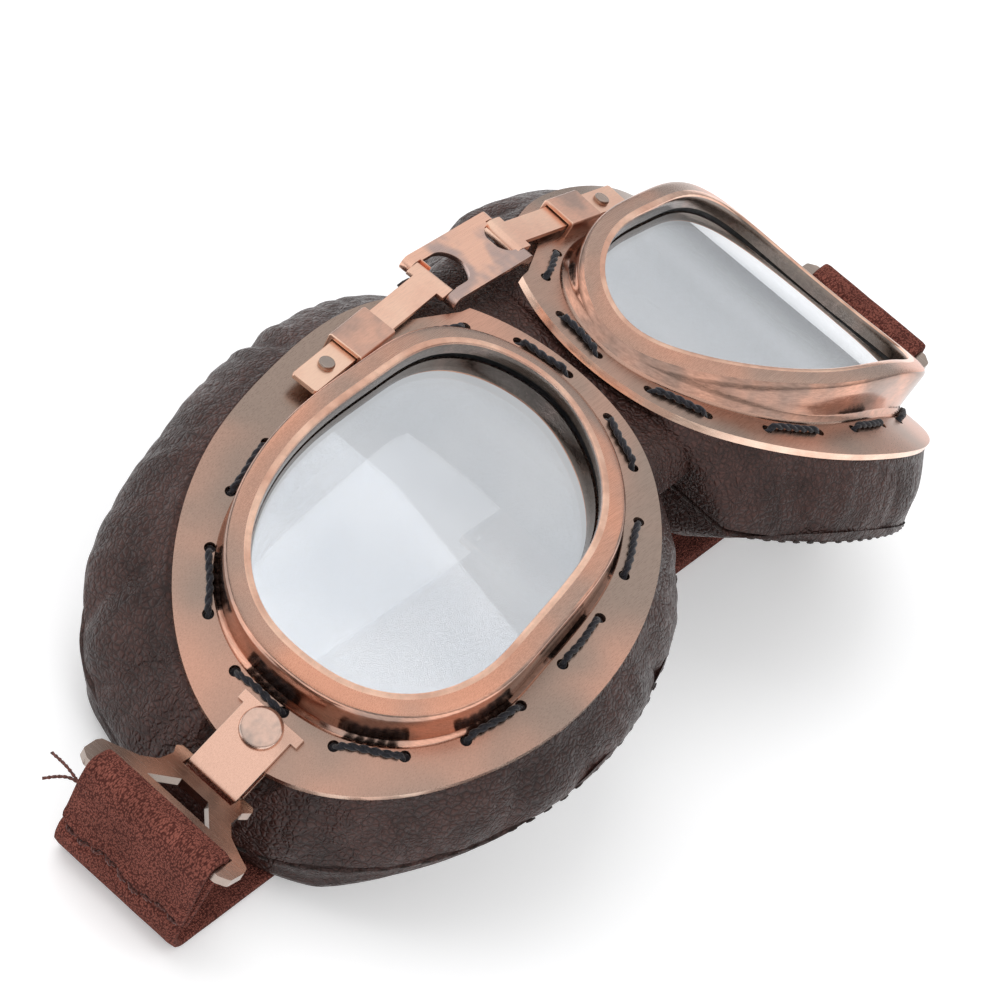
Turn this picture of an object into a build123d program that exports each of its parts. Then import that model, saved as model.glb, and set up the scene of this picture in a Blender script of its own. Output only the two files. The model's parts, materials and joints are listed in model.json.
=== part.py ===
from build123d import *
import math
import os

# Aviator flying goggles lying face up on their cushions, in millimetres.
# +X is the wearer's left, +Y the brow, +Z the way the lenses look.
# The origin is on the floor under the middle of the nose bridge.
# Every piece of a cup is built on the +X side and mirrored for the other side.

# Move along Y that puts the origin under the middle of the whole.
MIDDLE_SHIFT_Y = -2.0

# Bent frame plate: two arcs in side view, measured from its nasal edge.
NASAL_EDGE_X = 2.3
NASAL_EDGE_Z = 52.5
NASAL_EDGE_ANGLE = 1.0
NASAL_BEND_R = 223.0
TEMPLE_BEND_R = 109.5
NASAL_BEND_LENGTH = 37.0
PLATE_LENGTH = 97.4
PLATE_HEIGHT = 75.4
PLATE_THICKNESS = 1.2

# Outline of the plate in shares of its length and height, nasal edge at 0.
PLATE_OUTLINE_SHARES = (
    (1.0, -0.06), (0.971, 0.11), (0.895, 0.256), (0.776, 0.381), (0.637, 0.458),
    (0.462, 0.495), (0.279, 0.5), (0.132, 0.436), (0.033, 0.281), (0.0, 0.076),
    (0.045, -0.143), (0.15, -0.296), (0.277, -0.405), (0.431, -0.478), (0.595, -0.5),
    (0.75, -0.457), (0.883, -0.355), (0.971, -0.21),
)

# Notch that lets the bridge hardware pass at the nasal brow corner.
NOTCH_DEPTH_X = 21.0
NOTCH_LOW_Y = 26.2
NOTCH_HIGH_Y = 30.4

# The cup's own axis leans outwards; the rim and the cushion are built along it.
CUP_TILT = 24.0

# Lens opening, the inner edge of the raised rim, in shares of its own size.
LENS_CENTRE_U = 44.6
LENS_CENTRE_Y = -1.1
LENS_LENGTH = 71.0
LENS_HEIGHT = 46.8
LENS_OUTLINE_SHARES = (
    (0.5, -0.04), (0.486, 0.16), (0.404, 0.343), (0.265, 0.455), (0.08, 0.5),
    (-0.13, 0.498), (-0.318, 0.48), (-0.445, 0.37), (-0.5, 0.16), (-0.45, -0.06),
    (-0.331, -0.27), (-0.2, -0.395), (-0.04, -0.46), (0.13, -0.49), (0.27, -0.495),
    (0.4, -0.405), (0.48, -0.22),
)

# Raised rim that holds the lens: its top is part of one round crown.
CROWN_R = 88.0
CROWN_X = 31.0
CROWN_Z = 57.5
RIM_WIDTH = 4.2
RIM_STOCK_HEIGHT = 20.0
LIP_DEPTH = 3.0
LIP_WIDTH = 2.0
GASKET_THICKNESS = 0.6
GASKET_WIDTH = 1.5
LENS_THICKNESS = 2.0
RETAINER_THICKNESS = 1.2
RETAINER_WIDTH = 2.4
LENS_CLEARANCE = 0.1

# Stitches that hold the leather: places of the holes along the plate, two by two.
HOLE_SHARES = (
    ((0.582, 0.372), (0.689, 0.345)), ((0.784, 0.287), (0.867, 0.19)),
    ((0.907, 0.066), (0.905, -0.066)), ((0.892, -0.19), (0.829, -0.31)),
    ((0.743, -0.377), (0.637, -0.405)), ((0.531, -0.402), (0.414, -0.382)),
    ((0.311, -0.346), (0.195, -0.275)), ((0.102, -0.172), (0.044, -0.046)),
    ((0.025, 0.088), (0.045, 0.216)), ((0.106, 0.313), (0.194, 0.353)),
)
HOLE_R = 0.95
THREAD_R = 0.7
THREAD_LIFT = 0.95
THREAD_BEND_R = 1.0

# Bridge: a link and two slotted strips that turn on pins.
PIN_X = 11.2
PIN_Y = 33.0
PIN_Z = 53.4
PIN_YAW = 3.5
STRIP_TILT = 7.0
PIN_R = 0.7
PIN_LENGTH = 11.6
EAR_R = 1.3
EAR_LENGTH = 1.9
BARREL_CLEARANCE = 0.05
EAR_GAP = 0.12
LINK_THICKNESS = 0.9
LINK_NOTCH_R = 3.7
LINK_NOTCH_DEPTH = 3.2
LINK_CRESCENT_R = 3.3
LINK_CRESCENT_REACH = 3.1
STRIP_WIDTH = 5.0
STRIP_THICKNESS = 0.9
STRIP_LENGTH = 37.6
STRIP_SHOULDER = 2.6
STRIP_END_ROUND = 0.5
STOP_REACH = 31.4
STOP_R = 1.4
STOP_HEIGHT = 0.8
STOP_SHANK_R = 0.8

# Loop that the strip slides through.
LOOP_REACH = 21.4
LOOP_LENGTH = 9.9
LOOP_THICKNESS = 0.8
LOOP_SIDE_GAP = 0.15
LOOP_TOP_GAP = 0.2
LOOP_ROUND = 0.6

# Strap bracket, folded round the buckle's inner bar and riveted to the plate.
BRACKET_INSET = 5.0
TEMPLE_Y = -4.5
BRACKET_WIDTH = 9.8
BRACKET_THICKNESS = 0.9
BRACKET_BACK = 3.0
BRACKET_OUT = 10.2
BRACKET_SEAT_GAP = 0.16
BRACKET_HORN = 1.2
BRACKET_HORN_LENGTH = 1.8
RIVET_HEAD_R = 3.5
RIVET_HEAD_HEIGHT = 1.0
RIVET_HEAD_ROUND = 0.8
RIVET_SHANK_R = 1.5
RIVET_TAIL_R = 2.2
RIVET_TAIL_HEIGHT = 0.6

# Buckle plate: an inner bar that turns in the bracket and an outer bar for the strap.
BUCKLE_TILT = 8.0
BUCKLE_THICKNESS = 1.4
BUCKLE_BAR_R = 0.62
BUCKLE_WING = 2.8
BUCKLE_LENGTH = 18.6
BUCKLE_EDGE = 1.9
BUCKLE_ROUND = 0.8
BUCKLE_SLOT_START = 13.4
BUCKLE_SLOT_END = 15.6
BUCKLE_OUTLINE_SHARES = (
    (0.0, 0.24), (0.06, 0.262), (0.16, 0.232), (0.36, 0.246), (0.5, 0.31), (0.62, 0.43),
    (0.67, 0.488), (0.74, 0.5), (0.93, 0.495), (1.0, 0.44),
)
WINDOW_START = 6.6
WINDOW_END = 11.4
WINDOW_SHARES = ((-0.09, 0.0), (0.09, 0.0), (0.21, 1.0), (-0.21, 1.0))

# Elastic strap, its loop past the buckle and its run under the goggles.
STRAP_WIDTH = 25.0
STRAP_THICKNESS = 1.6
STRAP_GAP = 0.1
STRAP_FLOOR_GAP = 0.2
STRAP_LEAN = 2.2
STRAP_LAP_LEVEL = 7.0
STRAP_BEND_R = 3.6
STRAP_TURN_R = 1.0

# Adjuster on the strap: a frame with a middle bar.
ADJUSTER_X = 12.0
ADJUSTER_LENGTH = 17.2
ADJUSTER_RAIL = 1.8
ADJUSTER_BAR = 1.8
ADJUSTER_MIDDLE_BAR = 2.2
ADJUSTER_THICKNESS = 1.6
ADJUSTER_SIDE_GAP = 0.5
ADJUSTER_ROUND = 0.5

# Cushion: leather side wall above its seam and a padded roll that meets the face.
SEAM_DEPTH = 14.0
CUSHION_TUCK = 1.0
CUSHION_BULGE = 5.5
CUSHION_DRAW_IN = 3.5
CUSHION_ROLL_DEPTH = 26.0
CUSHION_HOLE_GROW = 5.0
LEATHER_NASAL_WALL = 2.0
PAD_NASAL_WALL = 4.5
PAD_HOLE_GROW = 0.6
CUSHION_LEVELS = 5
REAR_HEEL_X = 74.0
REAR_SLOPE = 24.0
REAR_HEEL_R = 8.0
REAR_CHEEK_Y = -18.0
REAR_CHEEK_SLOPE = 40.0
SOFT_GAP = 0.3

# Bulge at each point of the plate's outline, in shares of the bulge above.
CUSHION_BULGE_SHARES = (
    1.1, 1.7, 2.4, 2.3, 1.7, 1.75, 1.55, 1.45, 1.05, 1.0, 1.0, 1.0, 1.0, 1.0, 1.0, 1.0, 1.0, 1.0,
)

# Nose: the cushions lean away from the middle and a leather piece joins them.
NOSE_HALF_WIDTH = 4.6
NOSE_HEIGHT = 50.0
NOSE_LEAN = 0.3
NOSE_LEATHER_LOW_Y = -20.0
NOSE_LEATHER_HIGH_Y = 38.0
NOSE_LEATHER_TOP_Z = 50.4
NOSE_LEATHER_THICKNESS = 9.0

# Levels along the cup's axis between which the cushion is shaped.
CUSHION_TOP = 20.0
CUSHION_BOTTOM = -24.0

# One overrun for all cuts.
CUT_OVERRUN = 70.0


def bend_at(reach):
    """Place and slope of the plate's top face at a distance along it."""
    first = math.radians(NASAL_EDGE_ANGLE)
    if reach <= NASAL_BEND_LENGTH:
        angle = first + reach / NASAL_BEND_R
        x = NASAL_EDGE_X + NASAL_BEND_R * (math.sin(angle) - math.sin(first))
        z = NASAL_EDGE_Z + NASAL_BEND_R * (math.cos(angle) - math.cos(first))
        return x, z, angle
    change_x, change_z, change = bend_at(NASAL_BEND_LENGTH)
    angle = change + (reach - NASAL_BEND_LENGTH) / TEMPLE_BEND_R
    x = change_x + TEMPLE_BEND_R * (math.sin(angle) - math.sin(change))
    z = change_z + TEMPLE_BEND_R * (math.cos(angle) - math.cos(change))
    return x, z, angle


def lift(reach, y, height):
    """Point at a height square to the plate."""
    x, z, angle = bend_at(reach)
    return x + height * math.sin(angle), y, z + height * math.cos(angle)


def cup_plane(level=0.0):
    """Plane square to the cup's axis, from the nasal edge of the plate."""
    tilt = math.radians(CUP_TILT)
    return Plane(
        origin=(NASAL_EDGE_X + level * math.sin(tilt), 0, NASAL_EDGE_Z + level * math.cos(tilt)),
        x_dir=(math.cos(tilt), 0, -math.sin(tilt)),
        z_dir=(math.sin(tilt), 0, math.cos(tilt)),
    )


def on_cup_plane(reach):
    """Place of the plate's top face on the cup's plane, and its level above it."""
    local = cup_plane().to_local_coords(Vector(*lift(reach, 0, 0)))
    return local.X, local.Z


def grown(points, grow):
    """Outline points moved outwards, square to the outline."""
    moved = []
    for index, (u, v) in enumerate(points):
        before = points[index - 1]
        after = points[(index + 1) % len(points)]
        du, dv = after[0] - before[0], after[1] - before[1]
        size = math.hypot(du, dv)
        moved.append((u + grow * dv / size, v - grow * du / size))
    return moved


def plate_outline():
    return [
        (on_cup_plane(u * PLATE_LENGTH)[0], v * PLATE_HEIGHT) for u, v in PLATE_OUTLINE_SHARES
    ]


def lens_outline(grow=0.0):
    points = [
        (LENS_CENTRE_U + u * LENS_LENGTH, LENS_CENTRE_Y + v * LENS_HEIGHT)
        for u, v in LENS_OUTLINE_SHARES
    ]
    return grown(points, grow)


def closed_face(points):
    return make_face(Spline(*points, periodic=True))


def wall(outline):
    """Solid inside an outline, running along the cup's axis past everything."""
    face = cup_plane(-CUT_OVERRUN) * closed_face(outline)
    return extrude(face, amount=2 * CUT_OVERRUN, dir=cup_plane().z_dir)


def across(face):
    """Side-view face pushed out both ways along Y, past everything."""
    return extrude(face, amount=CUT_OVERRUN, dir=(0, 1, 0), both=True)


def bent_slab(top, bottom):
    """Layer that follows the plate between two heights above its top face."""
    ends = (-NASAL_BEND_LENGTH / 2, NASAL_BEND_LENGTH, PLATE_LENGTH + BRACKET_OUT)
    edges = []
    for height in (top, bottom):
        for start, stop in zip(ends, ends[1:]):
            points = [lift(reach, 0, height) for reach in (start, (start + stop) / 2, stop)]
            edges.append(ThreePointArc(*points))
    for reach in (ends[0], ends[-1]):
        edges.append(Line(lift(reach, 0, top), lift(reach, 0, bottom)))
    return across(make_face(edges))


def crown(depth):
    """Round bar whose surface lies at a depth under the rim's crown."""
    bar = Cylinder(CROWN_R - depth, 2 * CUT_OVERRUN)
    return Pos(CROWN_X, 0, CROWN_Z - CROWN_R) * Rot(90, 0, 0) * bar


def crown_layer(depth, thickness):
    return crown(depth) - crown(depth + thickness)


def strip_plane():
    """Frame of the bridge strip: origin on the pin, X along the strip."""
    yaw, tilt = math.radians(PIN_YAW), math.radians(STRIP_TILT)
    along = (math.cos(tilt) * math.cos(yaw), -math.cos(tilt) * math.sin(yaw), -math.sin(tilt))
    up = (math.sin(tilt) * math.cos(yaw), -math.sin(tilt) * math.sin(yaw), math.cos(tilt))
    return Plane(origin=(PIN_X, PIN_Y, PIN_Z), x_dir=along, z_dir=up)


def bracket_plane():
    """Frame of the strap bracket: origin at the rivet on the plate's top face."""
    x, z, angle = bend_at(PLATE_LENGTH - BRACKET_INSET)
    along = (math.cos(angle), 0, -math.sin(angle))
    up = (math.sin(angle), 0, math.cos(angle))
    return Plane(origin=(x, TEMPLE_Y, z), x_dir=along, z_dir=up)


def bracket_leaf_heights():
    upper = BRACKET_SEAT_GAP + BRACKET_THICKNESS / 2
    lower = -PLATE_THICKNESS - BRACKET_SEAT_GAP - BRACKET_THICKNESS / 2
    return upper, lower


def buckle_axis():
    """Middle of the fold, where the buckle's inner bar turns."""
    upper, lower = bracket_leaf_heights()
    return bracket_plane().from_local_coords(Vector(BRACKET_OUT, 0, (upper + lower) / 2))


def buckle_plane():
    tilt = math.radians(BUCKLE_TILT)
    along = (math.cos(tilt), 0, math.sin(tilt))
    up = (-math.sin(tilt), 0, math.cos(tilt))
    return Plane(origin=buckle_axis(), x_dir=along, z_dir=up)


def hole_places():
    return [
        [(u * PLATE_LENGTH, v * PLATE_HEIGHT) for u, v in pair] for pair in HOLE_SHARES
    ]


def plate_normal_plane(reach, y, height=0.0):
    angle = bend_at(reach)[2]
    return Plane(
        origin=lift(reach, y, height),
        x_dir=(math.cos(angle), 0, -math.sin(angle)),
        z_dir=(math.sin(angle), 0, math.cos(angle)),
    )


def make_slide_loop():
    """Staple over the strip, with legs that pass through the plate."""
    inner_width = STRIP_WIDTH + 2 * LOOP_SIDE_GAP
    top = EAR_R + LOOP_TOP_GAP + LOOP_THICKNESS
    leg_length = top + PIN_R + 2 * EAR_R + PLATE_THICKNESS
    shell = Pos(LOOP_REACH, 0, top - leg_length / 2) * Box(
        LOOP_LENGTH, inner_width + 2 * LOOP_THICKNESS, leg_length
    )
    hollow = Pos(LOOP_REACH, 0, top - LOOP_THICKNESS - leg_length / 2) * Box(
        LOOP_LENGTH + CUT_OVERRUN, inner_width, leg_length
    )
    top_edges = shell.edges().filter_by(Axis.X).sort_by(Axis.Z)[-2:]
    shell = fillet(top_edges, LOOP_ROUND)
    staple = strip_plane() * (shell - hollow)
    return staple & bent_slab(CUT_OVERRUN, -PLATE_THICKNESS)


def make_frame_plate(loop, rivet_hole):
    corner = Polyline(
        (-NOTCH_DEPTH_X, 2 * NOTCH_LOW_Y - NOTCH_HIGH_Y), (NOTCH_DEPTH_X / 2, NOTCH_LOW_Y),
        (NOTCH_DEPTH_X, NOTCH_HIGH_Y), (NOTCH_DEPTH_X, PLATE_HEIGHT),
        (-NOTCH_DEPTH_X, PLATE_HEIGHT), close=True,
    )
    cuts = [
        wall(lens_outline(LIP_WIDTH + LENS_CLEARANCE)),
        extrude(make_face(corner), amount=CUT_OVERRUN),
        loop, rivet_hole,
    ]
    for pair in hole_places():
        for reach, y in pair:
            cuts.append(plate_normal_plane(reach, y) * Cylinder(HOLE_R, 4 * PLATE_THICKNESS))
    plate = bent_slab(0.0, -PLATE_THICKNESS) & wall(plate_outline())
    return plate - cuts


def make_bezel():
    rim = wall(lens_outline(RIM_WIDTH)) & crown(0.0) & bent_slab(RIM_STOCK_HEIGHT, 0.0)
    pocket = wall(lens_outline(LIP_WIDTH + LENS_CLEARANCE)) & crown(LIP_DEPTH)
    return rim - [wall(lens_outline()), pocket]


def make_lens():
    depth = LIP_DEPTH + GASKET_THICKNESS
    return wall(lens_outline(LIP_WIDTH)) & crown_layer(depth, LENS_THICKNESS)


def make_gasket():
    ring = wall(lens_outline(LIP_WIDTH)) - wall(lens_outline(LIP_WIDTH - GASKET_WIDTH))
    return ring & crown_layer(LIP_DEPTH, GASKET_THICKNESS)


def make_retainer():
    ring = wall(lens_outline(LIP_WIDTH)) - wall(lens_outline(LIP_WIDTH - RETAINER_WIDTH))
    depth = LIP_DEPTH + GASKET_THICKNESS + LENS_THICKNESS
    return ring & crown_layer(depth, RETAINER_THICKNESS)


def make_stitch(start, stop):
    """One over-stitch: up through a hole, across and down through the next."""
    low = -PLATE_THICKNESS
    points = [
        lift(*start, low), lift(*start, THREAD_LIFT), lift(*stop, THREAD_LIFT), lift(*stop, low)
    ]
    path = FilletPolyline(*points, radius=THREAD_BEND_R)
    section = plate_normal_plane(*start, low) * Circle(THREAD_R)
    return sweep(section, path=path)


def make_stitching():
    return Compound(children=[make_stitch(*pair) for pair in hole_places()])


def make_strip():
    """Flat strip with a wide end rolled round the pin."""
    barrel_length = PIN_LENGTH - 2 * EAR_LENGTH - 2 * EAR_GAP
    top = EAR_R
    wide = Pos(STRIP_SHOULDER / 2, 0, top - STRIP_THICKNESS / 2) * Box(
        STRIP_SHOULDER, barrel_length, STRIP_THICKNESS
    )
    narrow = Pos(STRIP_LENGTH / 2, 0, top - STRIP_THICKNESS / 2) * Box(
        STRIP_LENGTH, STRIP_WIDTH, STRIP_THICKNESS
    )
    corners = narrow.edges().filter_by(Axis.Z).sort_by(Axis.X)[-2:]
    strip = fillet(corners, STRIP_END_ROUND) + wide
    strip += Rot(90, 0, 0) * Cylinder(EAR_R, barrel_length)
    strip -= Rot(90, 0, 0) * Cylinder(PIN_R + BARREL_CLEARANCE, 2 * barrel_length)
    strip -= Pos(STOP_REACH, 0, top) * Cylinder(STOP_SHANK_R, 4 * STRIP_THICKNESS)
    return strip_plane() * strip


def make_strip_stop():
    """Small domed rivet that keeps the strip in its loop."""
    shank = Pos(STOP_REACH, 0, EAR_R - STRIP_THICKNESS / 2) * Cylinder(
        STOP_SHANK_R, STRIP_THICKNESS
    )
    head = Pos(STOP_REACH, 0, EAR_R + STOP_HEIGHT / 2) * Cylinder(STOP_R, STOP_HEIGHT)
    head = fillet(head.edges().sort_by(Axis.Z)[-1:], STOP_HEIGHT / 2)
    return strip_plane() * (shank + head)


def make_hinge_pin():
    return strip_plane() * (Rot(90, 0, 0) * Cylinder(PIN_R, PIN_LENGTH))


def make_link():
    """Plate between the pins with ears rolled round both ends of each pin."""
    yaw = math.radians(PIN_YAW)
    half = PIN_LENGTH / 2
    brow = (PIN_X + half * math.sin(yaw), PIN_Y + half * math.cos(yaw))
    cheek = (PIN_X - half * math.sin(yaw), PIN_Y - half * math.cos(yaw))
    outline = Polyline(brow, cheek, (-cheek[0], cheek[1]), (-brow[0], brow[1]), close=True)
    top = PIN_Z + EAR_R
    plate = extrude(make_face(outline), amount=LINK_THICKNESS)
    plate = Pos(0, 0, top - LINK_THICKNESS) * plate
    swing = EAR_R + EAR_GAP
    gap_width = PIN_LENGTH - 2 * EAR_LENGTH
    for side in (-1, 1):
        slot = Pos(side * PIN_X, PIN_Y, PIN_Z) * Rot(0, 0, -side * PIN_YAW) * (
            Box(2 * swing, gap_width, 4 * EAR_R)
        )
        plate -= slot
    edge = PIN_X - swing
    plate -= Pos(LINK_NOTCH_DEPTH - edge, PIN_Y, PIN_Z) * Cylinder(LINK_NOTCH_R, 4 * EAR_R)
    plate -= Pos(LINK_NOTCH_DEPTH / 2 - edge, PIN_Y, PIN_Z) * Box(
        LINK_NOTCH_DEPTH, 2 * LINK_NOTCH_R, 4 * EAR_R
    )
    crescent = Pos(edge, PIN_Y, PIN_Z) * Cylinder(LINK_CRESCENT_R, 4 * EAR_R)
    reach = Pos(edge, PIN_Y, PIN_Z) * Box(
        2 * LINK_CRESCENT_REACH, 2 * LINK_CRESCENT_R, 4 * EAR_R
    )
    plate -= crescent & reach
    for side in (-1, 1):
        for end in (-1, 1):
            offset = end * (PIN_LENGTH - EAR_LENGTH) / 2
            turned = Rot(0, 0, -side * PIN_YAW)
            ear = Pos(0, offset, 0) * Rot(90, 0, 0) * Cylinder(EAR_R, EAR_LENGTH)
            bore = Pos(0, offset, 0) * Rot(90, 0, 0) * Cylinder(PIN_R, 2 * EAR_LENGTH)
            place = Pos(side * PIN_X, PIN_Y, PIN_Z) * turned
            plate += place * ear
            plate -= place * bore
    return plate


def make_bracket():
    """Leaf over the plate, a fold round the buckle's bar and a leaf under the plate."""
    upper, lower = bracket_leaf_heights()
    fold_r = (upper - lower) / 2
    middle = (upper + lower) / 2
    path = Line((-BRACKET_BACK, upper), (BRACKET_OUT, upper))
    path += ThreePointArc(
        (BRACKET_OUT, upper), (BRACKET_OUT + fold_r, middle), (BRACKET_OUT, lower)
    )
    path += Line((BRACKET_OUT, lower), (-BRACKET_BACK, lower))
    profile = Plane.XZ * trace(path, line_width=BRACKET_THICKNESS)
    leaf = extrude(profile, amount=BRACKET_WIDTH / 2, both=True)
    horns = Pos(-BRACKET_BACK + BRACKET_HORN_LENGTH / 2, 0, upper) * Box(
        BRACKET_HORN_LENGTH, BRACKET_WIDTH + 2 * BRACKET_HORN, BRACKET_THICKNESS
    )
    leaf = leaf + horns
    leaf -= Cylinder(RIVET_SHANK_R, CUT_OVERRUN)
    return bracket_plane() * leaf


def make_rivet():
    upper, lower = bracket_leaf_heights()
    top = upper + BRACKET_THICKNESS / 2
    bottom = lower - BRACKET_THICKNESS / 2
    shank = Pos(0, 0, (top + bottom) / 2) * Cylinder(RIVET_SHANK_R, top - bottom)
    head = Pos(0, 0, top + RIVET_HEAD_HEIGHT / 2) * Cylinder(RIVET_HEAD_R, RIVET_HEAD_HEIGHT)
    head = fillet(head.edges().sort_by(Axis.Z)[-1:], RIVET_HEAD_ROUND)
    tail = Pos(0, 0, bottom - RIVET_TAIL_HEIGHT / 2) * Cylinder(RIVET_TAIL_R, RIVET_TAIL_HEIGHT)
    return bracket_plane() * (shank + head + tail)


def make_buckle():
    span = STRAP_WIDTH + 2 * BUCKLE_WING
    half = [(u * BUCKLE_LENGTH, v * span) for u, v in BUCKLE_OUTLINE_SHARES]
    points = half + [(u, -v) for u, v in reversed(half)]
    outline = FilletPolyline(*points, radius=BUCKLE_ROUND, close=True)
    plate = extrude(make_face(outline), amount=BUCKLE_THICKNESS / 2, both=True)
    inner_slot = BRACKET_WIDTH + 2 * LOOP_SIDE_GAP
    fold_reach = BRACKET_THICKNESS + BUCKLE_BAR_R + BUCKLE_EDGE
    slot_middle = (BUCKLE_SLOT_START + BUCKLE_SLOT_END) / 2
    window = [
        (WINDOW_START + share * (WINDOW_END - WINDOW_START), v * span)
        for v, share in WINDOW_SHARES
    ]
    plate -= [
        Box(2 * fold_reach, inner_slot, CUT_OVERRUN),
        Pos(slot_middle, 0, 0) * Box(
            BUCKLE_SLOT_END - BUCKLE_SLOT_START, STRAP_WIDTH + 2 * STRAP_GAP, CUT_OVERRUN
        ),
        extrude(make_face(Polyline(*window, close=True)), amount=CUT_OVERRUN, both=True),
    ]
    plate += Rot(90, 0, 0) * Cylinder(BUCKLE_BAR_R, inner_slot + 2 * BUCKLE_EDGE)
    return buckle_plane() * plate


def strap_levels():
    """Heights of the strap's middle where it lies on the floor, one layer on the other."""
    first = STRAP_FLOOR_GAP + STRAP_THICKNESS / 2
    return first, first + STRAP_THICKNESS + STRAP_GAP


def on_buckle(u, w):
    place = buckle_plane().from_local_coords(Vector(u, 0, w))
    return place.X, place.Z


def strap_bar_turn():
    """Strap points round the outer bar, from inside below to outside below."""
    space = STRAP_THICKNESS / 2 + STRAP_GAP
    inner = BUCKLE_SLOT_END - space
    outer = BUCKLE_LENGTH + space
    above = BUCKLE_THICKNESS / 2 + space
    return [
        on_buckle(inner, -above), on_buckle(inner, above), on_buckle(outer, above),
        on_buckle(outer, -above),
    ]


def strap_fall(layer):
    """Strap points where it bends on the floor under the outer bar."""
    level = strap_levels()[layer]
    shift = layer * (STRAP_THICKNESS + STRAP_GAP)
    foot_x = strap_bar_turn()[-1][0] - STRAP_LEAN - shift
    bend = STRAP_BEND_R - shift / 2
    return [(foot_x, level + bend), (foot_x - bend, level)]


def adjuster_heights():
    _, second = strap_levels()
    bottom = second + STRAP_THICKNESS / 2 + 2 * STRAP_GAP
    return bottom, bottom + ADJUSTER_THICKNESS


def strap_path():
    """Side view of the whole strap, from its sewn end to its end on the adjuster."""
    first, second = strap_levels()
    layer = STRAP_THICKNESS + STRAP_GAP
    turn = strap_bar_turn()
    outer_foot = strap_fall(0)
    inner_foot = strap_fall(1)
    bottom, top = adjuster_heights()
    half_bar = ADJUSTER_MIDDLE_BAR / 2
    wrap = half_bar + STRAP_THICKNESS / 2 + STRAP_GAP
    slot = (ADJUSTER_LENGTH / 2 - ADJUSTER_BAR + wrap + STRAP_THICKNESS / 2) / 2
    over_wrap = top + layer - STRAP_THICKNESS / 2 + layer
    sewn_end = (inner_foot[0][0], STRAP_LAP_LEVEL)
    points = [(-x, z) for x, z in [sewn_end] + turn + outer_foot]
    points += [
        (ADJUSTER_X - slot - STRAP_TURN_R, first), (ADJUSTER_X - slot, over_wrap),
        (ADJUSTER_X + slot, over_wrap), (ADJUSTER_X + slot + STRAP_TURN_R, second),
    ]
    points += inner_foot[::-1] + turn + outer_foot
    points += [
        (ADJUSTER_X + slot + STRAP_TURN_R, first),
        (ADJUSTER_X + half_bar, bottom - STRAP_THICKNESS / 2 - STRAP_GAP),
        (ADJUSTER_X - wrap, bottom - STRAP_THICKNESS / 2 - STRAP_GAP),
        (ADJUSTER_X - wrap, top + STRAP_THICKNESS / 2 + STRAP_GAP),
        (ADJUSTER_X + half_bar, top + STRAP_THICKNESS / 2 + STRAP_GAP),
    ]
    return points


def make_strap():
    points = strap_path()
    path = FilletPolyline(*points, radius=STRAP_TURN_R)
    face = Plane.XZ * trace(path, line_width=STRAP_THICKNESS)
    print("strap length", round(path.length, 1))
    return Pos(0, TEMPLE_Y, 0) * extrude(face, amount=STRAP_WIDTH / 2, both=True)


def make_adjuster():
    bottom, top = adjuster_heights()
    width = STRAP_WIDTH + 2 * ADJUSTER_SIDE_GAP + 2 * ADJUSTER_RAIL
    frame = Box(ADJUSTER_LENGTH, width, ADJUSTER_THICKNESS)
    frame = fillet(frame.edges().filter_by(Axis.Z), ADJUSTER_ROUND)
    inner = STRAP_WIDTH + 2 * ADJUSTER_SIDE_GAP
    slot = ADJUSTER_LENGTH / 2 - ADJUSTER_BAR - ADJUSTER_MIDDLE_BAR / 2
    for side in (-1, 1):
        place = side * (ADJUSTER_MIDDLE_BAR + slot) / 2
        frame -= Pos(place, 0, 0) * Box(slot, inner, CUT_OVERRUN)
    return Pos(ADJUSTER_X, TEMPLE_Y, (bottom + top) / 2) * frame


def bulge_at(depth, bulge):
    """How far the cushion stands out of the plate's edge at a depth below it."""
    if depth <= 0:
        return -CUSHION_TUCK
    if depth <= SEAM_DEPTH:
        swell = math.sin(math.pi / 2 * depth / SEAM_DEPTH)
        return -CUSHION_TUCK + (CUSHION_TUCK + bulge) * swell
    share = min((depth - SEAM_DEPTH) / CUSHION_ROLL_DEPTH, 1)
    return bulge - (bulge + CUSHION_DRAW_IN) * (1 - math.cos(math.pi / 2 * share))


def cushion_section(level):
    """Outline of the cushion at one level, each point grown by its own depth."""
    flat = plate_outline()
    points = []
    for index, (reach, _) in enumerate(PLATE_OUTLINE_SHARES):
        depth = on_cup_plane(reach * PLATE_LENGTH)[1] - level
        bulge = CUSHION_BULGE * CUSHION_BULGE_SHARES[index]
        points.append(grown(flat, bulge_at(depth, bulge))[index])
    return cup_plane(level) * closed_face(points)


def cushion_outer():
    step = (CUSHION_TOP - CUSHION_BOTTOM) / (CUSHION_LEVELS - 1)
    levels = [CUSHION_BOTTOM + step * index for index in range(CUSHION_LEVELS)]
    return loft([cushion_section(level) for level in levels])


def nose_wedge(gap=0.0):
    """Space between the cushions that widens towards the face."""
    top = NOSE_HALF_WIDTH + gap - (CUT_OVERRUN - NOSE_HEIGHT) * NOSE_LEAN
    low = NOSE_HALF_WIDTH + gap + NOSE_HEIGHT * NOSE_LEAN
    face = make_face(Polyline(
        (-CUT_OVERRUN, 0, CUT_OVERRUN), (top, 0, CUT_OVERRUN), (low, 0, 0),
        (-CUT_OVERRUN, 0, 0), close=True,
    ))
    return across(face)


def eye_hollow(grow, nasal_wall):
    """Room in front of the eye, with a wall left on the side of the nose."""
    return wall(lens_outline(grow)) - nose_wedge(nasal_wall)


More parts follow.
